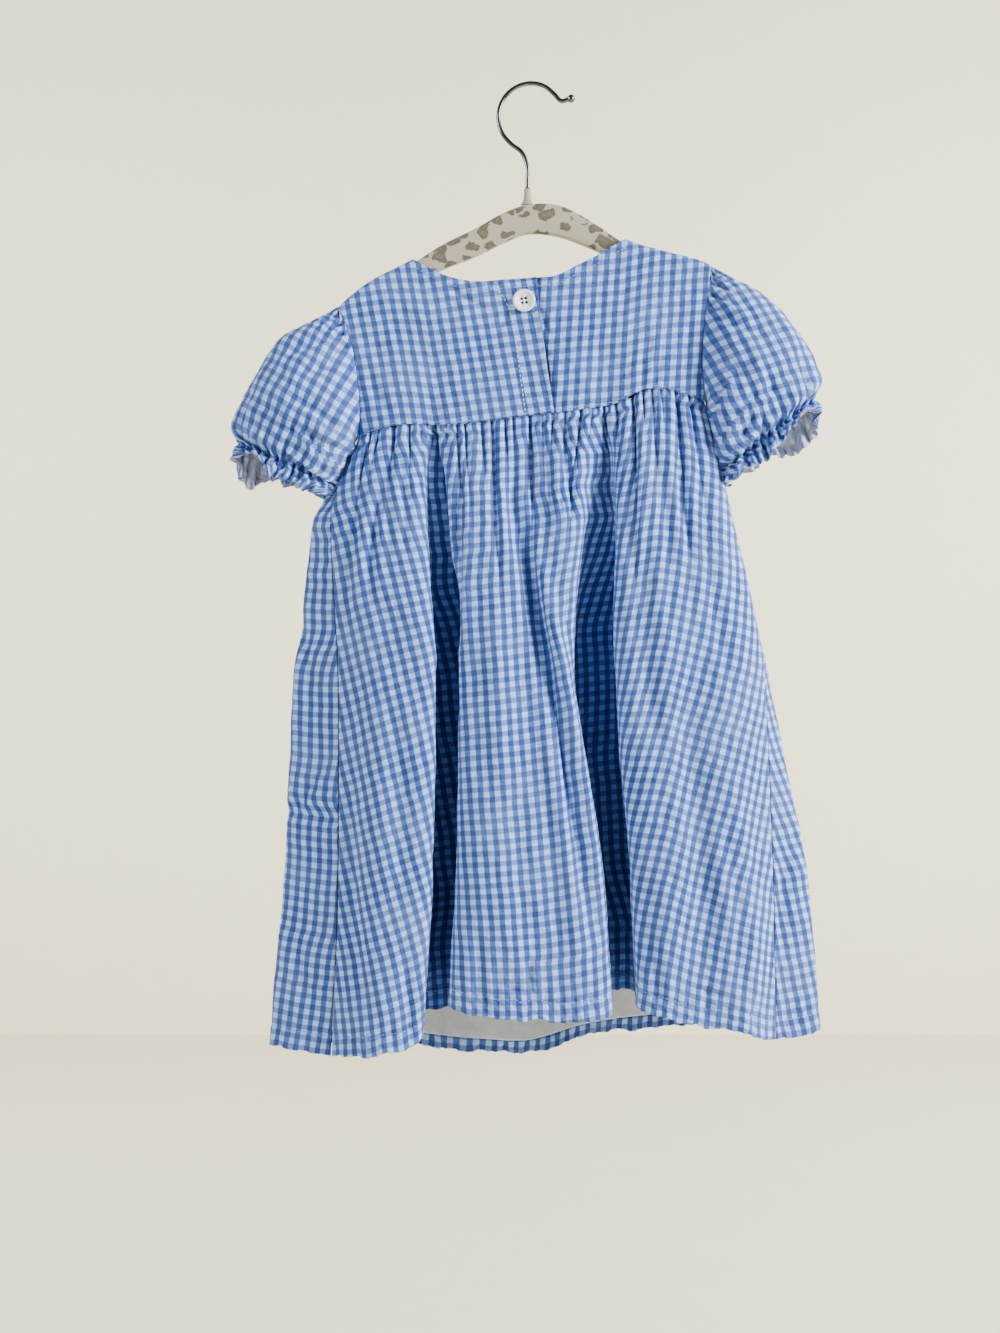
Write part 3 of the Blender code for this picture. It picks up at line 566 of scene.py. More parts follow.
def cloth(name, grid, thickness, u, v, closed=False, pale_inside=False):
    """A thin shell under a grid of outer points, with a UV map in metres of cloth."""
    rows, columns = grid.shape[:2]
    inner = grid - outward(grid, closed) * thickness
    points = np.concatenate([grid.reshape(-1, 3), inner.reshape(-1, 3)])
    number = np.arange(rows * columns).reshape(rows, columns)
    last = columns if closed else columns - 1
    here = number[:, np.arange(last)]
    beside = number[:, (np.arange(last) + 1) % columns]
    at = np.arange(last)
    under = rows * columns
    corner_columns = []
    faces = []
    face_rows = []

    def add(corners, column_offsets, row_offsets, count_rows):
        faces.append(np.stack([c.reshape(-1) for c in corners], -1))
        cols = np.broadcast_to(at, (count_rows, last)) if corners[0].ndim == 2 else at[None]
        corner_columns.append(np.stack([(cols + o).reshape(-1) for o in column_offsets], -1))
        face_rows.append(np.stack(row_offsets, -1))

    top = np.repeat(np.arange(rows - 1), last)
    quad = [here[:-1], here[1:], beside[1:], beside[:-1]]
    add(quad, (0, 0, 1, 1), (top, top + 1, top + 1, top), rows - 1)
    add([c + under for c in quad[::-1]], (1, 1, 0, 0), (top, top + 1, top + 1, top), rows - 1)
    zeros = np.zeros(last, int)
    ends = zeros + rows - 1
    rim = [here[0], beside[0], beside[0] + under, here[0] + under]
    add(rim, (0, 1, 1, 0), (zeros, zeros, zeros, zeros), 1)
    hem = [here[-1] + under, beside[-1] + under, beside[-1], here[-1]]
    add(hem, (0, 1, 1, 0), (ends, ends, ends, ends), 1)
    if not closed:
        line = np.arange(rows - 1)
        for column, step in ((0, 1), (columns - 1, -1)):
            side = [number[:-1, column], number[:-1, column] + under]
            side += [number[1:, column] + under, number[1:, column]]
            faces.append(np.stack(side[::step], -1))
            corner_columns.append(np.full((rows - 1, 4), column))
            order = [line, line, line + 1, line + 1][::step]
            face_rows.append(np.stack(order, -1))
    faces = np.concatenate(faces)
    made = new_object(name, points, faces.tolist())
    inside = np.zeros(len(faces))
    inside[(rows - 1) * last : 2 * (rows - 1) * last] = float(pale_inside)
    made.data.attributes.new("wrong_side", "FLOAT", "FACE").data.foreach_set("value", inside)
    layer = made.data.uv_layers.new(name="cloth")
    column = np.concatenate(corner_columns).reshape(-1)
    row = np.concatenate(face_rows).reshape(-1)
    layer.data.foreach_set("uv", (np.stack([u[row, column], v[row, column]], -1) * MM).reshape(-1))
    return made


def shade(piece, painted_shade):
    """Marks how deep in a fold each point of a cloth is, on both of its faces, as the share of painted shade
    that darkens its colour there.
    """
    values = np.tile(painted_shade.reshape(-1), 2)
    piece.data.attributes.new("painted_fold_shade", "FLOAT", "POINT").data.foreach_set("value", values)


def loft(name, rings):
    """A closed skin through rings of equal count, with a flat face at each end."""
    count = len(rings[0])
    points = np.concatenate(rings)
    faces = []
    for ring in range(len(rings) - 1):
        for side in range(count):
            here = ring * count + side
            beside = ring * count + (side + 1) % count
            faces.append((here, beside, beside + count, here + count))
    faces.append(tuple(range(count))[::-1])
    faces.append(tuple(range(len(points) - count, len(points))))
    made = new_object(name, points, faces)
    shape = bmesh.new()
    shape.from_mesh(made.data)
    bmesh.ops.recalc_face_normals(shape, faces=shape.faces)
    if shape.calc_volume(signed=True) < 0:
        bmesh.ops.reverse_faces(shape, faces=shape.faces)
    shape.to_mesh(made.data)
    shape.free()
    return made


# Shader maths


class Value:
    """A number in a shader, so that expressions on it add Math nodes."""

    def __init__(self, nodes, socket):
        self.nodes = nodes
        self.socket = socket

    def math(self, operation, *others):
        values = {number + 1: other for number, other in enumerate(others)}
        return self.nodes.make("ShaderNodeMath", {"operation": operation}, {0: self, **values})

    def __add__(self, other):
        return self.math("ADD", other)

    __radd__ = __add__

    def __mul__(self, other):
        return self.math("MULTIPLY", other)

    __rmul__ = __mul__

    def __sub__(self, other):
        return self.math("SUBTRACT", other)

    def __rsub__(self, other):
        return self.nodes.make("ShaderNodeMath", {"operation": "SUBTRACT"}, {0: other, 1: self})

    def __truediv__(self, other):
        return self.math("DIVIDE", other)

    def step(self, low, high):
        """0 below low, 1 above high and a smooth rise between."""
        settings = {"interpolation_type": "SMOOTHSTEP"}
        return self.nodes.make("ShaderNodeMapRange", settings, {0: self, 1: low, 2: high})


class Nodes:
    """A material's node tree, with one method that makes any node."""

    def __init__(self, name):
        self.material = bpy.data.materials.new(name)
        self.material.use_nodes = True
        self.tree = self.material.node_tree
        self.shader = self.tree.nodes["Principled BSDF"]

    def make(self, kind, settings=None, values=None, output=0):
        node = self.tree.nodes.new(kind)
        for name, value in (settings or {}).items():
            setattr(node, name, value)
        for place, value in (values or {}).items():
            self.give(node.inputs[place], value)
        return Value(self, node.outputs[output])

    def give(self, socket, value):
        if isinstance(value, Value):
            self.tree.links.new(value.socket, socket)
        else:
            socket.default_value = value

    def mix(self, share, first, second):
        """A colour between two, by share."""
        settings = {"data_type": "RGBA"}
        return self.make("ShaderNodeMix", settings, {0: share, 6: first, 7: second}, output=2)

    def noise(self, vector, scale, detail=2.0, roughness=0.5):
        values = {"Vector": vector, "Scale": scale, "Detail": detail, "Roughness": roughness}
        return self.make("ShaderNodeTexNoise", {}, values)

    def bump(self, height, strength, distance):
        values = {"Strength": strength, "Distance": distance, "Height": height}
        return self.make("ShaderNodeBump", {}, values)

    def finish(self, **values):
        names = {name.replace("_", " "): value for name, value in values.items()}
        for name, value in names.items():
            self.give(self.shader.inputs[name.title().replace("Ior", "IOR")], value)
        return self.material


def cloth_places(nodes):
    """The cloth's own two directions in metres: across and down."""
    place = nodes.make("ShaderNodeUVMap", {"uv_map": "cloth"}, {})
    apart = nodes.make("ShaderNodeSeparateXYZ", {}, {0: place})
    across = Value(nodes, apart.socket.node.outputs[0])
    down = Value(nodes, apart.socket.node.outputs[1])
    return place, across, down


def object_place(nodes):
    """The place in the object's own coordinates."""
    return Value(nodes, nodes.make("ShaderNodeTexCoord").socket.node.outputs["Object"])


def weave(across, down):
    """The height of plain-woven threads."""
    return (across * (math.tau / THREAD)).math("SINE") * (down * (math.tau / THREAD)).math("SINE")


def stripe(distance, wobble):
    """1 on the coloured half of each stripe and 0 on the white half, with soft edges."""
    turn = (distance + wobble).math("FRACT")
    away = (turn - 0.5).math("ABSOLUTE") * 2.0
    return away.step(0.5 - CHECK_EDGE, 0.5 + CHECK_EDGE)


def make_gingham():
    nodes = Nodes("gingham")
    place, across, down = cloth_places(nodes)
    fine = nodes.noise(place, 900.0, 2.0)
    drift = nodes.noise(place, 60.0, 1.0)
    wobble = (fine - 0.5) * 0.07 + (drift - 0.5) * 0.13
    warp = stripe(across / CHECK_ACROSS, wobble)
    weft = stripe(down / CHECK_DOWN, wobble)
    lengthwise = nodes.make("ShaderNodeCombineXYZ", {}, {0: across * 2600.0, 1: down * 260.0})
    crosswise = nodes.make("ShaderNodeCombineXYZ", {}, {0: across * 260.0, 1: down * 2600.0})
    warp_slub = nodes.noise(lengthwise, 1.0, 2.0)
    weft_slub = nodes.noise(crosswise, 1.0, 2.0)
    warp_blue = warp * (0.72 + 0.56 * warp_slub)
    weft_blue = weft * (0.72 + 0.56 * weft_slub)
    white = nodes.mix((warp_slub * weft_slub).step(0.12, 0.42), FADED_CHECK, WHITE_CHECK)
    plain = nodes.mix(weft_blue, white, LILAC_CHECK)
    blue = nodes.mix(weft_blue, MIDDLE_CHECK, DEEP_CHECK)
    colour = nodes.mix(warp_blue, plain, blue)
    side = nodes.make("ShaderNodeAttribute", {"attribute_name": "wrong_side"}, output=2)
    colour = nodes.mix(side * 0.6, colour, WRONG_SIDE)
    faded = nodes.noise(place, 25.0, 3.0)
    colour = nodes.mix(faded.step(0.35, 0.75) * 0.10, colour, FADED_CHECK)
    # Painted shade: deep in folds, gathers and creases the colour is darkened and tinted toward blue shade,
    # by the share stored on the cloth
    painted_shade = nodes.make("ShaderNodeAttribute", {"attribute_name": "painted_fold_shade"}, output=2)
    shaded = nodes.make("ShaderNodeVectorMath", {"operation": "MULTIPLY"}, {0: colour, 1: PAINTED_SHADE_TINT})
    colour = nodes.mix(painted_shade, colour, shaded)
    threads = weave(across, down)
    crumple = nodes.noise(place, 130.0, 4.0, 0.6)
    waves = nodes.noise(place, 42.0, 3.0, 0.55)
    height = threads * 0.00003 + crumple * 0.0020 + waves * 0.0050 + (warp_slub + weft_slub) * 0.00006
    return nodes.finish(
        base_color=colour,
        roughness=0.82 + 0.12 * fine,
        normal=nodes.bump(height, 0.9, 1.0),
        sheen_weight=0.12,
        sheen_roughness=0.5,
        specular_ior_level=0.2,
    )


def make_lining_white():
    nodes = Nodes("lining")
    place, across, down = cloth_places(nodes)
    crumple = nodes.noise(place, 110.0, 4.0, 0.6)
    threads = weave(across, down)
    # Painted shade: the lining's colour darkens toward its shaded white where its crumple is low, in the
    # wrinkles' hollows
    colour = nodes.mix(crumple.step(0.3, 0.7), LINING_SHADE, LINING_WHITE)
    return nodes.finish(
        base_color=colour,
        roughness=0.85 + 0.1 * crumple,
        normal=nodes.bump(threads * 0.00003 + crumple * 0.0008, 0.5, 1.0),
        specular_ior_level=0.2,
    )


def make_thread(name, light, dark):
    nodes = Nodes(name)
    place = object_place(nodes)
    twist = nodes.noise(place, 2200.0, 1.0)
    return nodes.finish(
        base_color=nodes.mix(twist, dark, light),
        roughness=0.7 + 0.2 * twist,
        normal=nodes.bump(twist, 0.3, 0.0002),
    )


def make_velvet():
    nodes = Nodes("velvet")
    place = object_place(nodes)
    bend = nodes.make("ShaderNodeTexNoise", {}, {"Vector": place, "Scale": 130.0}, output=1)
    moved = nodes.make("ShaderNodeVectorMath", {"operation": "SCALE"}, {0: bend, 3: 0.011})
    bent = nodes.make("ShaderNodeVectorMath", {"operation": "ADD"}, {0: place, 1: moved})
    stretch = nodes.make("ShaderNodeVectorMath", {"operation": "MULTIPLY"}, {0: bent, 1: (0.8, 0.5, 1.1)})
    values = {"Vector": stretch, "Scale": 104.0, "Randomness": 0.95}
    spots = nodes.make("ShaderNodeTexVoronoi", {}, values)
    gaps = nodes.noise(bent, 60.0, 1.0)
    reach = 0.30 + 0.25 * gaps
    mask = 1.0 - (spots / reach).step(0.86, 1.0)
    heart = (1.0 - (spots / reach).step(0.25, 0.55)) * 0.5
    nap = nodes.noise(place, 1600.0, 3.0)
    spot_colour = nodes.mix(heart, SPOT_GREY, SPOT_HEART)
    colour = nodes.mix(mask, CREAM, spot_colour)
    colour = nodes.mix(nap.step(0.3, 0.8) * 0.25, colour, CREAM_LIGHT)
    return nodes.finish(
        base_color=colour,
        roughness=0.88 + 0.1 * nap,
        normal=nodes.bump(nap, 0.35, 0.0004),
        sheen_weight=0.35,
        sheen_roughness=0.4,
        specular_ior_level=0.15,
    )


def make_wire():
    nodes = Nodes("hook_wire")
    place = object_place(nodes)
    haze = nodes.noise(place, 240.0, 3.0)
    drawn = nodes.noise(place, 1500.0, 2.0)
    return nodes.finish(
        base_color=nodes.mix(haze, WIRE_LIGHT, WIRE_DARK),
        metallic=1.0,
        roughness=0.16 + 0.16 * haze,
        normal=nodes.bump(drawn, 0.05, 0.0002),
    )


def make_button_white():
    nodes = Nodes("button_white")
    place = object_place(nodes)
    cloud = nodes.noise(place, 160.0, 3.0)
    worn = nodes.noise(place, 900.0, 3.0)
    return nodes.finish(
        base_color=nodes.mix(cloud, BUTTON_SHADE, BUTTON_LIGHT),
        roughness=0.22 + 0.2 * worn,
        normal=nodes.bump(worn, 0.06, 0.0002),
        coat_weight=0.3,
    )


# Yoke


def hanger_top(x):
    return height_at([(edge.x, edge.top) for edge in HANGER_EDGES], x)


def shoulder_line(x):
    """The height of the cloth where it rounds over the hanger."""
    return hanger_top(x) + OVER_HANGER


def seam_height(panel, x):
    return height_at(BACK_SEAM if panel == "back" else FRONT_SEAM, x)


def armhole(marks, share):
    x, z = along(marks, share)
    lift = float(shoulder_line(marks[0].x)) - marks[0].z
    return np.array([x, z + lift * (1 - share) ** 3])


def left_armhole(share):
    return armhole(LEFT_ARMHOLE, share)


def right_armhole(share):
    return armhole(RIGHT_ARMHOLE, share)


def slit_edge(side):
    """The slit's edge on one side of its gap, as a curve by share."""

    def point(share):
        x, z = along(BACK_SLIT, share)
        open_here = math.sin(math.pi * min(max((share - 0.35) / 0.62, 0), 1)) ** 2
        x += side * (SLIT_OPEN * open_here * (side > 0) - SLIT_LAP)
        top = float(height_at(BACK_NECK, x))
        foot = float(seam_height("back", x))
        return np.array([x, z + (top - BACK_SLIT[0].z) * (1 - share) + (foot - BACK_SLIT[-1].z) * share])

    return point


def yoke_surface(face, left, right, columns, rows):
    """A grid of outer points of a yoke panel between two side curves of (x, z) by share."""
    neck = BACK_NECK if face == "back" else FRONT_NECK
    sign = -1 if face == "back" else 1
    seam_x, seam_depth = seam_row(face)
    across = np.linspace(0, 1, columns + 1)

    def top(share):
        x = left(0)[0] + (right(0)[0] - left(0)[0]) * share
        inside = (x > neck[0].x) & (x < neck[-1].x)
        return np.stack([x, np.where(inside, height_at(neck, x), shoulder_line(x))], -1)

    def foot(share):
        x = left(1)[0] + (right(1)[0] - left(1)[0]) * share
        return np.stack([x, seam_height(face, x)], -1)

    grid = []
    for down in rows:
        s = across[:, None]
        edges = (1 - s) * left(down) + s * right(down)
        ends = (1 - down) * top(across) + down * foot(across)
        corners = (1 - down) * ((1 - s) * top(0.0) + s * top(1.0))
        corners = corners + down * ((1 - s) * foot(0.0) + s * foot(1.0))
        flat = edges + ends - corners
        drop = np.clip(shoulder_line(flat[:, 0]) - flat[:, 1], 0, YOKE_DEPTH)
        rounded = np.sqrt(YOKE_DEPTH**2 - (YOKE_DEPTH - drop) ** 2)
        held = np.maximum(np.interp(flat[:, 0], seam_x, seam_depth), UNDERARM_DEPTH)
        depth = np.maximum(rounded * (1 - down**2) + held * down**2, SEAM_GAP / 2)
        grid.append(np.stack([flat[:, 0], sign * depth, flat[:, 1]], -1))
    return np.array(grid)


YOKE_ROWS = np.concatenate([np.linspace(0, 0.055, 10), np.linspace(0.068, 1.0, 78)])
YokePanel = namedtuple("YokePanel", "face left right columns lean rise")
YOKE_PANELS = {
    "back_yoke_left": YokePanel("back", left_armhole, slit_edge(-1), 120, 10.7, 7.3),
    "back_yoke_right": YokePanel("back", slit_edge(1), right_armhole, 108, -3.6, 5.3),
    "front_yoke": YokePanel("front", left_armhole, right_armhole, 180, 0.0, 6.0),
}


def make_yoke_panel(name, finishes):
    panel = YOKE_PANELS[name]
    grid = yoke_surface(panel.face, panel.left, panel.right, panel.columns, YOKE_ROWS)
    if panel.face == "front":
        grid = grid[:, ::-1]
    from_top = lengths_along(grid, 0)
    to_foot = from_top[-1] - from_top
    neck = BACK_NECK if panel.face == "back" else FRONT_NECK
    in_neck = ease(grid[0, :, 0], neck[0].x, neck[0].x + 6)
    in_neck = in_neck * (1 - ease(grid[0, :, 0], neck[-1].x - 6, neck[-1].x))
    x = grid[:, :, 0]
    raised = creased(grid, BACK_YOKE_CREASES if panel.face == "back" else FRONT_YOKE_CREASES)
    raised += in_neck * NECK_FACING * (1 - ease(from_top, NECK_BAND - 0.6, NECK_BAND + 0.6))
    raised += in_neck * 0.25 * np.exp(-((from_top / 1.2) ** 2))
    tugs = np.abs(np.sin(x * 0.39 + wander(x, 2.0, 0.13))) ** 4
    raised -= 0.7 * tugs * np.exp(-to_foot / 6.0) * (0.6 + 0.4 * wander(x, 5.0, 0.2))
    raised += 0.35 * wander(x * 0.09 + grid[:, :, 2] * 0.05, 1.0) * ease(from_top, 8, 25)
    raised *= in_neck + (1 - in_neck) * ease(from_top, 0.0, 4.0)
    if panel.face == "back":
        to_slit = np.abs(x - x[:, -1:] if name == "back_yoke_left" else x - x[:, :1])
        edge = np.exp(-((to_slit / 3.0) ** 2))
        raised += edge * (1.0 if name == "back_yoke_left" else -1.3)
        raised += 0.3 * edge * wander(grid[:, :, 2] * 0.33, 2.0)
    grid = grid + outward(grid) * raised[:, :, None]
    lean = math.radians(panel.lean)
    rise = math.radians(panel.rise)
    x = grid[:, :, 0]
    flat_down = grid[0, :, 2].max() - grid[:, :, 2]
    rounding = from_top - (grid[0, :, 2] - grid[:, :, 2])
    down = flat_down + rounding * (1 - ease(grid[0, :, 0], neck[0].x - 25, neck[0].x + 10))
    down += rounding * ease(grid[0, :, 0], neck[-1].x - 10, neck[-1].x + 25)
    across = x * math.cos(lean) - down * math.sin(lean)
    below = down * math.cos(rise) + x * math.sin(rise)
    made = cloth(name + "_cloth", grid, CLOTH, across, below)
    dress(made, finishes["gingham"], "gingham", name)
    return made, grid


# Skirt


def line_points(level):
    """Where each ridge and trough of the skirt is at one level."""
    station = np.interp(level, LEVELS, range(len(LEVELS)))
    points = []
    for line in SKIRT_LINES:
        flat = smooth([line.seam, line.high, line.middle, line.low, line.hem], [station])[0]
        top = float(seam_height(line.panel, line.seam[0])) - SEAM_GAP
        points.append((flat[0], flat[1], top + (line.hem_z - top) * level))
    return points


def skirt_curve(places, level):
    """Points round the skirt at places that count the table's lines from 0."""
    points = line_points(level)
    wrapped = points[-3:] + points + points[:4]
    return smooth(wrapped, np.asarray(places) + 3)


def seam_row(face):
    """The x and depth of the skirt's upper edge on one face, from left to right."""
    right = place_of("right_side_seam")
    span = (0, right) if face == "back" else (right, len(SKIRT_LINES))
    row = skirt_curve(np.linspace(*span, 200), 0.0)
    row = row[np.argsort(row[:, 0])]
    return row[:, 0], np.abs(row[:, 1])


def place_of(name):
    return [line.name for line in SKIRT_LINES].index(name)


def even_places(start, end, count):
    """Places along the skirt that part it evenly, as an average of seam and hem."""
    fine = np.linspace(start, end, 1500)
    ways = []
    for level in (0.0, 0.1, 0.5, 1.0):
        way = np.linalg.norm(np.diff(skirt_curve(fine, level), axis=0), axis=1)
        ways.append(way / way.sum())
    way = np.concatenate([[0], np.cumsum(np.mean(ways, axis=0))])
    return np.interp(np.linspace(0, way[-1], count), way, fine)


def gathered(panel, places, levels, top_x, seed):
    """Gathers with sharp valleys and round ridges, each with its own depth and length."""
    down = levels[:, None] * SKIRT_LENGTH
    if panel == "back":
        ends = [2 * BACK_GATHERS[0].x - BACK_GATHERS[1].x, 2 * BACK_GATHERS[-1].x - BACK_GATHERS[-2].x]
        marks = [ends[0]] + [gather.x for gather in BACK_GATHERS] + [ends[1]]
        phase = np.interp(top_x, marks, np.arange(len(marks)) - 0.5)
        number = np.clip(np.floor(phase).astype(int), 0, len(BACK_GATHERS) - 1)
        depth = np.array([gather.depth for gather in BACK_GATHERS])[number][None, :]
        length = np.array([gather.length for gather in BACK_GATHERS])[number][None, :]
    else:
        counts = [line.gathers for line in SKIRT_LINES]
        phase = np.interp(places, range(len(counts) + 1), np.concatenate([[0], np.cumsum(counts)]))
        phase = phase + 0.2 * wander(phase * 0.9, seed)
        number = np.floor(phase)[None, :]
        depth = 4.8 + 1.8 * np.sin(number * 2.6 + seed)
        length = 30 + 18 * np.sin(number * 4.1 + seed * 2)
    toward = 1 - np.abs(phase - np.floor(phase) - 0.5) * 2
    valley = (1 - np.sqrt(1 - 0.985 * toward**2))[None, :]
    deep = 1.2 * depth * np.exp(-((down / (1.3 * length)) ** 1.6))
    soft = 0.22 * depth * np.exp(-((down / (3.0 * length)) ** 2))
    start = 0.6 + 0.4 * ease(down, 0.0, 9.0)
    scallop = 1.3 * np.sin(math.tau * phase + 0.8)[None, :] ** 2 * np.exp(-((down / 4.5) ** 2))
    swell = 2.2 * np.exp(-(((down - 13.0) / 12.0) ** 2)) + scallop
    names = [0, place_of("right_side_seam"), len(SKIRT_LINES)]
    to_seam = np.min([np.abs(places - seam) for seam in names], axis=0)
    near_seam = ease(to_seam, 0.0, 0.3)[None, :]
    return (swell - valley * (deep + soft) * start) * near_seam


def hem_relief(u, to_hem, seed):
    """The folded hem's band, the groove of its stitching and the puckers along it."""
    band = 0.4 * (1 - ease(to_hem, HEM_BAND - 0.8, HEM_BAND + 0.4))
    groove = -0.5 * np.exp(-(((to_hem - HEM_BAND) / 1.1) ** 2))
    pucker = np.abs(np.sin(math.pi * u / 9.5 + 1.5 * wander(u, seed, 0.05))) ** 3
    strength = 1.1 + 0.8 * wander(u, seed + 2, 0.031)
    reach = np.exp(-(((to_hem - HEM_BAND) / 9.5) ** 2))
    skewed = np.abs(np.sin(math.pi * (u + 0.7 * to_hem) / 6.3 + 2.0 * wander(u, seed + 5, 0.07))) ** 3
    on_band = 1 - ease(to_hem, HEM_BAND, HEM_BAND + 4)
    roll = 0.9 * wander(u, seed + 4, 0.12) * np.exp(-to_hem / 8.0)
    return band + groove - 1.3 * pucker * strength * reach - 0.5 * skewed * on_band + roll


def leaned(base, arc, down, places, levels):
    """The back's cloth directions, where the grain of each lobe lies as the table says."""
    marks = [grain.level for grain in GRAIN]

    def tangent(column):
        return np.tan(np.radians(np.interp(levels, marks, [getattr(grain, column) for grain in GRAIN])))

    def lobe(place, lean, rise, sign):
        shift = np.concatenate([[0], np.cumsum(tangent(lean)[:-1] * np.diff(down))])[:, None]
        column = int(np.argmin(np.abs(places - place)))
        beside = arc - arc[:, column : column + 1]
        sideways = base[:, :, 0] - base[:, column : column + 1, 0]
        drift = base[:, column, 0] - base[0, column, 0]
        across = beside + arc[0, column] + drift[:, None] + sign * shift
        return across, down[:, None] - sign * sideways * tangent(rise)[:, None]

    left = 1 - ease(places, *LEFT_WALL)
    right = ease(places, *RIGHT_WALL)
    lobes = [lobe(LEFT_LOBE, "left_lean", "left_rise", -1), lobe(RIGHT_LOBE, "right_lean", "right_rise", 1)]
    middle = lobe(BACK_CENTRE, "centre_lean", "centre_rise", -1)
    shares = [left, right, 1 - left - right]
    blended = [sum(share * made[n] for share, made in zip(shares, lobes + [middle])) for n in (0, 1)]
    return blended[0], blended[1]


def skirt_levels():
    """Levels from the seam to the hem, closest near both."""
    near_seam = np.linspace(0, 0.1, 22)[:-1]
    between = np.linspace(0.1, 0.93, 94)[:-1]
    near_hem = np.linspace(0.93, 1, 32)
    return np.concatenate([near_seam, between, near_hem])


def make_skirt_panel(name, panel, columns, table, finishes):
    first = 0 if panel == "back" else place_of("right_side_seam")
    last = place_of("right_side_seam") if panel == "back" else len(SKIRT_LINES)
    places = even_places(first + 0.012, last - 0.012, columns)
    levels = skirt_levels()
    base = np.array([skirt_curve(places, level) for level in levels])
    seed = BACK_SEED if panel == "back" else FRONT_SEED
    centre = int(np.argmin(np.abs(places - (BACK_CENTRE if panel == "back" else FRONT_CENTRE))))
    u = lengths_along(base, 1)
    u = u - u[:, centre : centre + 1]
    down = lengths_along(base, 0)
    to_hem = down[-1] - down
    out = outward(base)
    gathers = gathered(panel, places, levels, base[0, :, 0], seed)
    creases = creased(base, table)
    # Painted shade in the gathers' valleys, the creases' troughs and inside the dark folds, stored for the
    # material to darken the colour
    painted_shade = 0.5 * ease(-gathers, 1.0, 6.0) + 0.6 * ease(-creases, 2.0, 6.0)
    raised = gathers + creases + hem_relief(u, to_hem, seed) * (0.3 + 0.7 * out[:, :, 1] ** 2)
    for fold in DARK_FOLDS:
        inside = ease(places, fold.start, fold.start + 0.8) * (1 - ease(places, fold.end - 0.8, fold.end))
        upright = ease(levels, *fold.levels) * (1 - (1 - FOLD_AT_HEM) * ease(levels, *FOLDS_END))
        raised -= fold.deeper * upright[:, None] * inside[None, :] * (panel == "back")
        painted_shade = np.maximum(painted_shade, ease(levels, *fold.levels)[:, None] * inside[None, :] * (panel == "back"))
    raised += 1.2 * wander(u * 0.045 + down * 0.006, seed) * ease(levels[:, None], 0.05, 0.3)
    raised += 0.45 * wander(u * 0.11 - down * 0.05, seed + 3)
    raised += 0.25 * wander(u * 0.21 + down * 0.16, seed + 8)
    meeting = ease(np.minimum(u - u[:, :1], u[:, -1:] - u), 0.0, MEETING_WIDTH)
    grid = base + out * (raised * meeting)[:, :, None]
    uneven_edge = 1.6 * wander(u, seed + 7, 0.09) * np.exp(-to_hem / 9.0)
    uneven_edge += 0.9 * wander(u, seed + 9, 0.31) * np.exp(-to_hem / 5.0)
    uneven_edge += 0.8 * wander(u, seed + 10, 0.5) * np.exp(-down / 5.0)
    grid[:, :, 2] += uneven_edge * meeting
    arc = lengths_along(grid, 1)
    arc = arc - arc[:, centre : centre + 1]
    calm = int(np.searchsorted(levels, CALM_LEVEL))
    arc[calm:] = u[calm:] + arc[calm] - u[calm]
    below = down.mean(axis=1)
    if panel == "back":
        arc, below = leaned(base, arc, below, places, levels)
    else:
        calm = int(np.searchsorted(levels, FRONT_CALM_LEVEL))
        arc[:calm] = u[:calm] + arc[calm] - u[calm]
        below = np.broadcast_to(below[:, None], arc.shape)
        arc = arc + ease(places, *STRIP) * STRIP_LEAN * below * (1 - 0.5 * levels[:, None])
    made = cloth(name, grid, CLOTH, arc, below)
    shade(made, painted_shade)
    dress(made, finishes["gingham"], "gingham", "skirt_" + panel)
    return made, grid, base, places, levels


def row_above_hem(grid, distance, lift):
    """A line over the cloth at a distance from its lower edge, just off its face."""
    to_hem = lengths_along(grid, 0)
    to_hem = to_hem[-1] - to_hem
    face = grid + outward(grid) * lift
    line = []
    for column in range(grid.shape[1]):
        away = to_hem[::-1, column]
        line.append([np.interp(distance, away, face[::-1, column, axis]) for axis in range(3)])
    return np.array(line)


def row_below_top(grid, distance, lift):
    """The same at a distance below its upper edge, where the turned grid's face is inside out."""
    return row_above_hem(grid[::-1], distance, -lift)


def make_lining(front_base, places, levels, finishes):
    numbers = (place_of("front_right_side"), place_of("left_edge"))
    chosen = (places >= numbers[0]) & (places <= numbers[1])
    low = levels >= 0.86
    base = front_base[low][:, chosen]
    out = outward(base)
    down = lengths_along(base, 0)
    u = lengths_along(base, 1)
    to_hem = down[-1] - down
    keep = to_hem[:, 0] >= LINING_ABOVE_HEM
    wave = 0.5 * wander(u * 0.12, 3.0) + 0.6 * np.abs(np.sin(u / 6.0 + wander(u, 1.0, 0.05))) ** 3
    grid = base - out * (CLOTH + 2.8 + wave * np.exp(-to_hem / 25.0))[:, :, None]
    grid = grid[keep]
    made = cloth("front_lining_cloth", grid, CLOTH * 0.6, u[keep], down[keep])
    dress(made, finishes["lining"], "lining", "front_lining")
    return made, grid


# Sleeves


def even_angles(count, half_width, half_depth):
    """Angles round an ellipse that part it into equal lengths."""
    fine = np.linspace(0, math.tau, 721)
    path = np.stack([half_width * np.cos(fine), half_depth * np.sin(fine)], -1)
    way = np.concatenate([[0], np.cumsum(np.linalg.norm(np.diff(path, axis=0), axis=1))])
    return np.interp(np.arange(count) / count * way[-1], way, fine)


def armhole_ring(angles, edge, side):
    """The sleeve's first ring, round both faces of the armhole and a seam's gap off it."""
    rows = np.linspace(0, 1, 60)
    depths = {}
    for face in ("back", "front"):
        grid = yoke_surface(face, left_armhole, right_armhole, 24, rows)
        depths[face] = grid[:, 0 if side < 0 else -1, 1]
    ring = []
    for angle in angles:
        share = (1 - math.cos(angle)) / 2
        face = "back" if math.sin(angle) >= 0 else "front"
        x, z = edge(share)
        ring.append((x + side * SEAM_GAP, np.interp(share, rows, depths[face]), z))
    return np.array(ring)


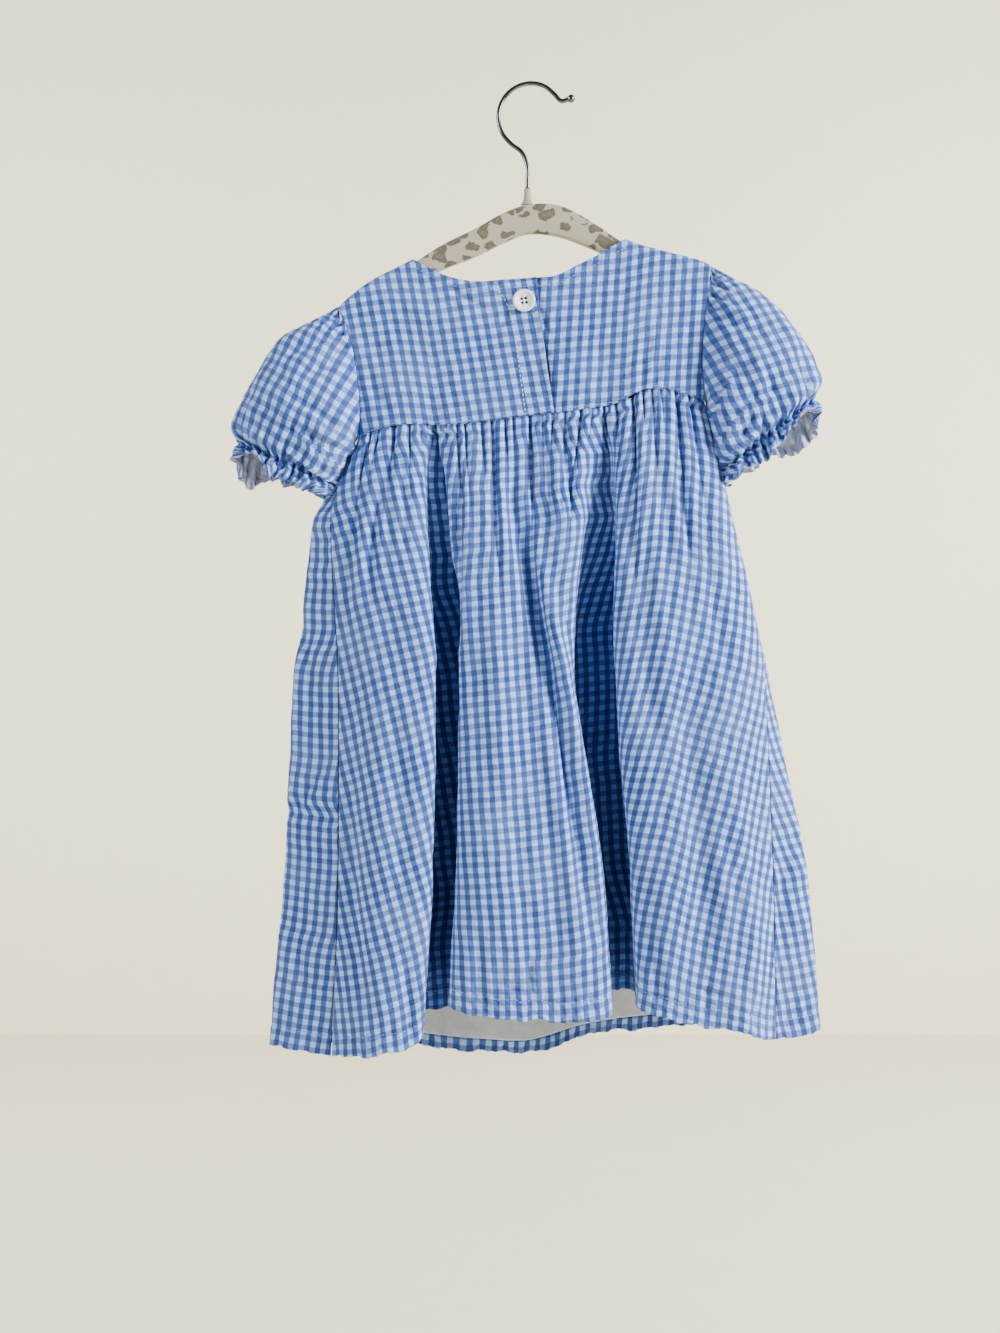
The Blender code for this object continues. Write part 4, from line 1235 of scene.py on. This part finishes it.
def turned_back(around, back):
    """Distances from the back's middle that run back to 0 on the front, which mirrors it."""
    quarter = back // 2
    made = around.copy()
    parts = ((quarter, 0, slice(0, quarter)), (back + quarter, 2 * back, slice(back + quarter, None)))
    for turn, end, part in parts:
        edge = around[:, turn : turn + 1]
        whole = around[:, end : end + 1]
        made[:, part] = edge * (whole - around[:, part]) / (whole - edge)
    return made


def turned_grain(grid, base, back, lean, rise):
    """The sleeve's cloth directions: a flat grid on the back face, mirrored on the front."""
    columns = grid.shape[1]
    wrapped = np.concatenate([grid, grid[:, :1]], axis=1)
    around = lengths_along(wrapped, 1)
    around = turned_back(around - around[:, back : back + 1], back)
    middle = base.mean(axis=1)
    ahead = base[:, back + 1] - base[:, back - 1]
    ahead[:, 1] = 0
    ahead = ahead / np.linalg.norm(ahead, axis=1)[:, None]
    x = middle[:, 0:1] + around * ahead[:, 0:1]
    z = middle[:, 2:3] + around * ahead[:, 2:3]
    across = x * math.cos(lean) + z * math.sin(lean)
    return across, x * math.sin(rise) - z * math.cos(rise)


def sleeve_base(stations, edge, side, columns, places):
    """The sleeve's smooth form as a grid that begins at the front's middle, and its angles."""
    cuff = stations[-2]
    half_width = math.hypot(cuff.outer_x - cuff.inner_x, cuff.outer_z - cuff.inner_z) / 2
    angles = even_angles(columns, half_width, cuff.half_depth)
    rings = [armhole_ring(angles, edge, side)]
    for station in stations:
        outer = np.array([station.outer_x, 0.0, station.outer_z])
        inner = np.array([station.inner_x, 0.0, station.inner_z])
        width = np.cos(angles)[:, None] * (outer - inner) / 2
        depth = np.sin(angles)[:, None] * np.array([0.0, -station.half_depth, 0.0])
        rings.append((outer + inner) / 2 + width + depth)
    base = np.stack([smooth(line, places) for line in np.stack(rings, 1)], 1)
    if side > 0:
        base = base[:, ::-1]
        angles = math.tau - angles[::-1]
    front = 3 * columns // 4 if side < 0 else columns // 4
    return np.roll(base, -front, axis=1), np.roll(angles, -front)


def make_sleeve(name, stations, edge, side, finishes, seed):
    columns = 224
    cuff = stations[-2]
    places = np.concatenate([np.linspace(0, 5, 54)[:-1], np.linspace(5, len(stations), 56)])
    base, angles = sleeve_base(stations, edge, side, columns, places)
    turn = turns(columns)
    round_it = turn[None, :]
    place = places[:, None]
    elastic = len(stations) - 1
    above = np.clip(elastic - place, 0, None)
    past = np.clip(place - elastic, 0, 1)
    drift = 0.5 * wander(round_it * 3, seed) + 0.25 * above * wander(round_it * 4, seed + 1)
    number = np.floor(CUFF_GATHERS * (turn / math.tau))
    reach = (0.8 + 0.7 * np.sin(number * 2.7 + seed))[None, :]
    valley = np.abs(np.sin(CUFF_GATHERS / 2 * round_it + drift)) ** 2.5
    gather = 4.6 * valley * np.exp(-above / np.maximum(reach, 0.35)) * (1 - 0.5 * past)
    puff = 2.2 * np.exp(-(((above - 0.75) / 0.45) ** 2)) * (past == 0)
    wide_wave = CUFF_GATHERS * 0.62 * round_it + 2.4 * wander(round_it * 3, seed + 2) + 2.4 * past
    ruffle = 4.0 * past * np.sin(wide_wave)
    ruffle += 1.6 * past * np.sin(CUFF_GATHERS * 1.2 * round_it + seed + past * 3.6)
    ruffle += 1.0 * past**0.5 * wander(round_it * 9 + past * 6, seed + 6)
    ruffle += 4.5 * np.sin(math.pi * past) * (0.7 + 0.3 * wander(round_it * 5, seed + 11))
    casing = np.exp(-(((place - elastic - 0.12) / 0.10) ** 2))
    casing = casing - 1.2 * np.exp(-(((place - elastic) / 0.07) ** 2))
    cap = np.clip(1 - place / 1.3, 0, 1) * ease(place, 0.0, 0.12)
    top = ease(np.cos(angles), -0.1, 0.6)[None, :]
    caps = 4.2 * np.abs(np.sin(15 * angles + 0.9 * wander(angles * 3, seed + 3)))[None, :] ** 3 * cap * top
    soft = 1.8 * wander(round_it * 2.5 + place * 0.9, seed + 5) * ease(place, 0.3, 1.5)
    soft += 0.6 * wander(round_it * 7.5 - place * 1.7, seed + 9) * ease(place, 0.3, 1.5)
    soft = soft * (1 - ease(place, elastic - 0.8, elastic))
    table = LEFT_SLEEVE_CREASES if side < 0 else RIGHT_SLEEVE_CREASES
    facing_back = (base[:, :, 1] < 0) * 1.0
    under = 4.6 * ease(-np.cos(angles), 0.3, 1.0)[None, :] * ease(place, 0.15, 1.2)
    raised = casing + ruffle + puff + soft + under - gather - caps
    raised += creased(base, table) * facing_back
    grid = base + outward(base, True) * raised[:, :, None]
    along_it = base[-1].mean(axis=0) - base[-20].mean(axis=0)
    along_it = along_it / np.linalg.norm(along_it)
    pull = 2.4 * wander(round_it * 6, seed + 4) + 0.6 * wander(round_it * 11, seed + 8)
    grid = grid + (past**1.2 * pull)[:, :, None] * along_it - (past**2 * 2.0)[:, :, None] * along_it
    lean = math.radians(side * SLEEVE_LEAN)
    rise = math.radians(LEFT_SLEEVE_FALL if side < 0 else RIGHT_SLEEVE_RISE)
    turned = CUFF_TURNED * ease(np.cos(angles), -0.2 if side > 0 else 0.1, 0.75)
    facing = np.clip(base[:, :, 1] / cuff.half_depth, -1, 1)
    grid = grid + (turned[None, :] * facing * past**1.3)[:, :, None] * along_it
    across, down = turned_grain(grid, base, columns // 2, lean, rise)
    made = cloth(name + "_cloth", grid, CLOTH, across, down, closed=True, pale_inside=True)
    # Painted shade in the cuff's gather valleys and the cap's gathers, less where the ruffle stands out
    shade(made, 0.5 * ease(gather + caps - 0.4 * ruffle, 1.0, 5.0))
    dress(made, finishes["gingham"], "gingham", name)
    return made, grid, places


# Stitches


def stitch_tree():
    """Geometry nodes that lay short threads along a line."""
    tree = bpy.data.node_groups.new("stitches", "GeometryNodeTree")
    face = tree.interface
    face.new_socket("Line", in_out="INPUT", socket_type="NodeSocketGeometry")
    face.new_socket("Pitch", in_out="INPUT", socket_type="NodeSocketFloat")
    face.new_socket("Stitch Length", in_out="INPUT", socket_type="NodeSocketFloat")
    face.new_socket("Thread Radius", in_out="INPUT", socket_type="NodeSocketFloat")
    face.new_socket("Material", in_out="INPUT", socket_type="NodeSocketMaterial")
    face.new_socket("Stitches", in_out="OUTPUT", socket_type="NodeSocketGeometry")
    nodes = tree.nodes
    link = tree.links.new
    given = nodes.new("NodeGroupInput")
    curve = nodes.new("GeometryNodeMeshToCurve")
    spaced = nodes.new("GeometryNodeResampleCurve")
    spaced.mode = "LENGTH"
    tangent = nodes.new("GeometryNodeInputTangent")
    turned = nodes.new("FunctionNodeAlignRotationToVector")
    turned.axis = "Z"
    bead = nodes.new("GeometryNodeMeshUVSphere")
    bead.inputs["Segments"].default_value = 6
    bead.inputs["Rings"].default_value = 5
    bead.inputs["Radius"].default_value = 1.0
    size = nodes.new("ShaderNodeCombineXYZ")
    half = nodes.new("ShaderNodeMath")
    half.operation = "MULTIPLY"
    half.inputs[1].default_value = 0.5
    placed = nodes.new("GeometryNodeInstanceOnPoints")
    real = nodes.new("GeometryNodeRealizeInstances")
    smooth_faces = nodes.new("GeometryNodeSetShadeSmooth")
    painted = nodes.new("GeometryNodeSetMaterial")
    out = nodes.new("NodeGroupOutput")
    link(given.outputs["Line"], curve.inputs["Mesh"])
    link(curve.outputs["Curve"], spaced.inputs["Curve"])
    link(given.outputs["Pitch"], spaced.inputs["Length"])
    link(spaced.outputs["Curve"], placed.inputs["Points"])
    link(bead.outputs["Mesh"], placed.inputs["Instance"])
    link(tangent.outputs["Tangent"], turned.inputs["Vector"])
    link(turned.outputs["Rotation"], placed.inputs["Rotation"])
    link(given.outputs["Stitch Length"], half.inputs[0])
    link(given.outputs["Thread Radius"], size.inputs["X"])
    link(given.outputs["Thread Radius"], size.inputs["Y"])
    link(half.outputs[0], size.inputs["Z"])
    link(size.outputs["Vector"], placed.inputs["Scale"])
    link(placed.outputs["Instances"], real.inputs["Geometry"])
    link(real.outputs["Geometry"], smooth_faces.inputs["Geometry"])
    link(smooth_faces.outputs["Geometry"], painted.inputs["Geometry"])
    link(given.outputs["Material"], painted.inputs["Material"])
    link(painted.outputs["Geometry"], out.inputs["Stitches"])
    return tree


def make_stitches(name, lines, tree, material, pitch=3.0, length=2.1, radius=0.28):
    """Short threads along each line of points, made one plain mesh."""
    points = np.concatenate(lines)
    edges = []
    start = 0
    for line in lines:
        edges += [(start + n, start + n + 1) for n in range(len(line) - 1)]
        start += len(line)
    mesh = bpy.data.meshes.new(name)
    mesh.from_pydata((points * MM).tolist(), edges, [])
    guide = bpy.data.objects.new(name + "_guide", mesh)
    bpy.context.collection.objects.link(guide)
    modifier = guide.modifiers.new("stitches", "NODES")
    modifier.node_group = tree
    given = {"Pitch": pitch * MM, "Stitch Length": length * MM, "Thread Radius": radius * MM}
    given["Material"] = material
    for item in tree.interface.items_tree:
        if item.name in given:
            modifier[item.identifier] = given[item.name]
    evaluated = guide.evaluated_get(bpy.context.evaluated_depsgraph_get())
    result = bpy.data.meshes.new_from_object(evaluated)
    result.name = name
    bpy.data.objects.remove(guide)
    made = bpy.data.objects.new(name, result)
    bpy.context.collection.objects.link(made)
    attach(made, "root")
    return made


# Pieces that are dressed


def dress(piece, material, slot_name, *nodes):
    piece.data.materials.clear()
    piece.data.materials.append(material)
    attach(piece, "root")
    if nodes:
        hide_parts(*nodes)


def make_hanger(finishes):
    half = HANGER_HALF_THICKNESS
    heights = [(edge.x, edge.height) for edge in HANGER_EDGES]
    rings = []
    for x in np.linspace(HANGER_EDGES[0].x, HANGER_EDGES[-1].x, 90):
        top = float(hanger_top(x))
        foot = top - float(height_at(heights, x))
        middle = (top + foot) / 2
        reach = (top - foot) / 2 - HANGER_ROUNDING
        ring = []
        for turn in turns(28):
            y = math.copysign(half - HANGER_ROUNDING, math.cos(turn)) + HANGER_ROUNDING * math.cos(turn)
            z = middle + math.copysign(reach, math.sin(turn)) + HANGER_ROUNDING * math.sin(turn)
            ring.append((x, y, z))
        rings.append(ring)
    body = loft("hanger_body_flocked", rings)
    dress(body, finishes["velvet"], "velvet", "hanger_body")


def make_hook(finishes):
    middle = smooth([(bend.x, bend.z) for bend in HOOK_LINE], np.linspace(0, len(HOOK_LINE) - 1, 150))
    ahead = middle[0] - middle[1]
    ahead = ahead / np.linalg.norm(ahead)
    tips = np.linspace(2 * BALL_RADIUS, 0, 11)
    centres = np.concatenate([middle[0] + ahead * (tips[:, None] - BALL_RADIUS * 0.4), middle[4:]])
    rings = []
    for number, centre in enumerate(centres):
        radius = WIRE_RADIUS
        if number < len(tips):
            radius = math.sqrt(max(BALL_RADIUS**2 - (tips[number] - BALL_RADIUS) ** 2, 0.03))
            radius = max(radius, WIRE_RADIUS if tips[number] < BALL_RADIUS else 0.15)
        before = centres[max(number - 1, 0)]
        after = centres[min(number + 1, len(centres) - 1)]
        run = (after - before) / np.linalg.norm(after - before)
        side = np.array([-run[1], run[0]])
        ring = []
        for turn in turns(16):
            out = math.cos(turn) * radius
            ring.append((centre[0] + side[0] * out, math.sin(turn) * radius, centre[1] + side[1] * out))
        rings.append(ring)
    dress(loft("hanger_hook_wire", rings), finishes["wire"], "hook_wire", "hanger_hook")


def make_collar(finishes):
    foot = float(hanger_top(HOOK_X))
    rings = []
    for share in np.linspace(0, 1, 12):
        radius = COLLAR_RADIUS + 2.2 * share**4
        z = COLLAR_TOP + (foot + 0.2 - COLLAR_TOP) * share
        depth = min(radius, HANGER_HALF_THICKNESS - 0.1)
        rings.append([(HOOK_X + radius * math.cos(t), depth * math.sin(t), z) for t in turns(24)])
    dress(loft("hanger_collar_flocked", rings), finishes["velvet"], "velvet", "hanger_collar")


def make_button(finishes):
    """The button, turned from its profile with four holes cut through it."""
    low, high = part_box("button")
    back = high[1] / MM
    face = low[1] / MM
    centre_x = (low[0] + high[0]) / 2 / MM
    centre_z = (low[2] + high[2]) / 2 / MM
    radius = (high[0] - low[0]) / 2 / MM
    profile = [(radius - 1.2, back), (radius - 0.4, back - 0.35), (radius, back - 1.1)]
    profile += [(radius, face + 0.8), (radius - 0.25, face + 0.3), (radius - 0.8, face)]
    profile += [(radius - 1.4, face + 0.05), (radius - 2.0, face + 0.6), (radius - 2.5, face + 1.0)]
    profile += [(1.0, face + 1.1)]
    rings = [circle(centre_x, centre_z, y, ring_radius, 64) for ring_radius, y in profile]
    made = loft("button_turned", rings)
    for quarter in range(4):
        angle = math.tau / 8 + quarter * math.tau / 4 + 0.15
        x = centre_x + BUTTON_HOLE_OFFSET * math.cos(angle)
        z = centre_z + BUTTON_HOLE_OFFSET * math.sin(angle)
        cutter = loft("hole", [circle(x, z, y, BUTTON_HOLE_RADIUS, 16) for y in (back + 1, face - 1)])
        cut = made.modifiers.new("hole", "BOOLEAN")
        cut.object = cutter
        cut.operation = "DIFFERENCE"
        cut.solver = "EXACT"
        evaluated = made.evaluated_get(bpy.context.evaluated_depsgraph_get())
        result = bpy.data.meshes.new_from_object(evaluated)
        made.modifiers.clear()
        made.data = result
        bpy.data.objects.remove(cutter)
    dress(made, finishes["button"], "button", "button")


def make_stage():
    sides = (-STAGE_SIDE, STAGE_SIDE)
    near = [(x, FLOOR_NEAR, FLOOR_Z) for x in sides]
    far = [(x, FLOOR_FAR, FLOOR_Z) for x in sides[::-1]]
    foot = [(x, WALL_Y, WALL_FOOT) for x in sides]
    top = [(x, WALL_Y, WALL_TOP) for x in sides[::-1]]
    floor = new_object("floor", near + far, [(0, 1, 2, 3)], False)
    wall = new_object("backdrop", foot + top, [(0, 1, 2, 3)], False)
    for piece, name, colour in ((floor, "floor_paint", FLOOR_PAINT), (wall, "wall_paint", WALL_PAINT)):
        nodes = Nodes(name)
        place = object_place(nodes)
        grain = nodes.noise(place, 30.0, 4.0)
        darker = tuple(c * 0.94 for c in colour[:3]) + (1.0,)
        material = nodes.finish(
            base_color=nodes.mix(grain, darker, colour),
            roughness=0.8 + 0.1 * grain,
            normal=nodes.bump(grain, 0.1, 0.002),
        )
        piece.data.materials.append(material)


def make_light(name, place, aim, size, watts, colour):
    data = bpy.data.lights.new(name, "AREA")
    data.shape = "RECTANGLE"
    data.size, data.size_y = size
    data.energy = watts
    data.color = colour
    lamp = bpy.data.objects.new(name, data)
    lamp.location = place
    way = Vector(aim) - Vector(place)
    lamp.rotation_euler = way.to_track_quat("-Z", "Y").to_euler()
    bpy.context.collection.objects.link(lamp)


def make_lights_and_camera():
    aim = (0.0, 0.0, -0.35)
    make_light("right_window", (2.0, -0.95, 0.45), aim, (0.8, 1.1), 174, (0.99, 0.99, 1.0))
    make_light("left_window", (-2.0, -1.15, 0.45), aim, (0.8, 1.1), 50, (0.97, 0.99, 1.0))
    make_light("wall_left", (-1.6, 0.5, 0.2), (-0.4, WALL_Y * MM, -0.3), (0.6, 1.6), 40, (1.0, 0.97, 0.91))
    make_light("wall_right", (1.6, 0.5, 0.2), (0.4, WALL_Y * MM, -0.3), (0.6, 1.6), 44, (1.0, 0.97, 0.91))
    world = bpy.data.worlds.new("soft_room")
    world.use_nodes = True
    world.node_tree.nodes["Background"].inputs["Color"].default_value = (0.78, 0.85, 0.95, 1)
    world.node_tree.nodes["Background"].inputs["Strength"].default_value = 0.18
    bpy.context.scene.world = world
    data = bpy.data.cameras.new("photo")
    data.lens = CAMERA_LENS
    data.sensor_width = 36.0
    camera = bpy.data.objects.new("photo", data)
    camera.location = CAMERA_PLACE
    camera.rotation_euler = (math.radians(90), 0, 0)
    bpy.context.collection.objects.link(camera)
    bpy.context.scene.camera = camera


def make_dress(finishes):
    tree = stitch_tree()
    white = finishes["white_thread"]
    blue = finishes["blue_thread"]
    back = make_skirt_panel("skirt_back_cloth", "back", 330, BACK_SKIRT_CREASES, finishes)
    front = make_skirt_panel("skirt_front_cloth", "front", 330, FRONT_SKIRT_CREASES, finishes)
    lining, lining_grid = make_lining(front[2], front[3], front[4], finishes)
    hems = [row_above_hem(panel[1], HEM_BAND, STITCH_LIFT) for panel in (back, front)]
    hem_threads = make_stitches("hem_stitches", hems, tree, blue)
    yokes = {name: make_yoke_panel(name, finishes) for name in YOKE_PANELS}
    seam_lines = []
    neck_lines = []
    for name, (piece, grid) in yokes.items():
        seam_lines.append(row_above_hem(grid, SEAM_STITCHES, STITCH_LIFT))
        neck = BACK_NECK if YOKE_PANELS[name].face == "back" else FRONT_NECK
        inside = (grid[0, :, 0] > neck[0].x + 2) & (grid[0, :, 0] < neck[-1].x - 2)
        neck_lines.append(row_below_top(grid, NECK_BAND, STITCH_LIFT)[inside])
    left_grid = yokes["back_yoke_left"][1]
    slit_lines = [stitch_column(left_grid, FACING_LINE)]
    yoke_threads = make_stitches("yoke_stitches", seam_lines + neck_lines, tree, blue)
    slit_threads = make_stitches("slit_stitches", slit_lines, tree, white, pitch=3.2, length=2.0)
    cuff_lines = []
    for name, stations, edge, side, seed in (
        ("sleeve_left", LEFT_SLEEVE, left_armhole, -1, 1.0),
        ("sleeve_right", RIGHT_SLEEVE, right_armhole, 1, 6.0),
    ):
        piece, grid, places = make_sleeve(name, stations, edge, side, finishes, seed)
        row = int(np.argmin(np.abs(places - (len(stations) - 1))))
        line = (grid + outward(grid, True) * STITCH_LIFT)[row]
        cuff_lines.append(np.concatenate([line, line[:1]]))
    cuff_threads = make_stitches("cuff_stitches", cuff_lines, tree, blue, pitch=2.6, length=1.8)


def stitch_column(grid, marks):
    """A line down a yoke panel that follows an x for each height."""
    face = grid + outward(grid) * STITCH_LIFT
    line = []
    for row in face:
        x = np.interp(-row[:, 2].mean(), [-mark.z for mark in marks], [mark.x for mark in marks])
        line.append([np.interp(x, row[:, 0], row[:, axis]) for axis in range(3)])
    return np.array(line)[3:-1]


def main():
    finishes = {
        "gingham": make_gingham(),
        "lining": make_lining_white(),
        "velvet": make_velvet(),
        "wire": make_wire(),
        "button": make_button_white(),
        "white_thread": make_thread("white_thread", THREAD_WHITE, THREAD_SHADE),
        "blue_thread": make_thread("blue_thread", THREAD_BLUE, THREAD_DEEP),
    }
    make_dress(finishes)
    make_hanger(finishes)
    make_hook(finishes)
    make_collar(finishes)
    make_button(finishes)
    make_stage()
    make_lights_and_camera()


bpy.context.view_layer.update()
main()
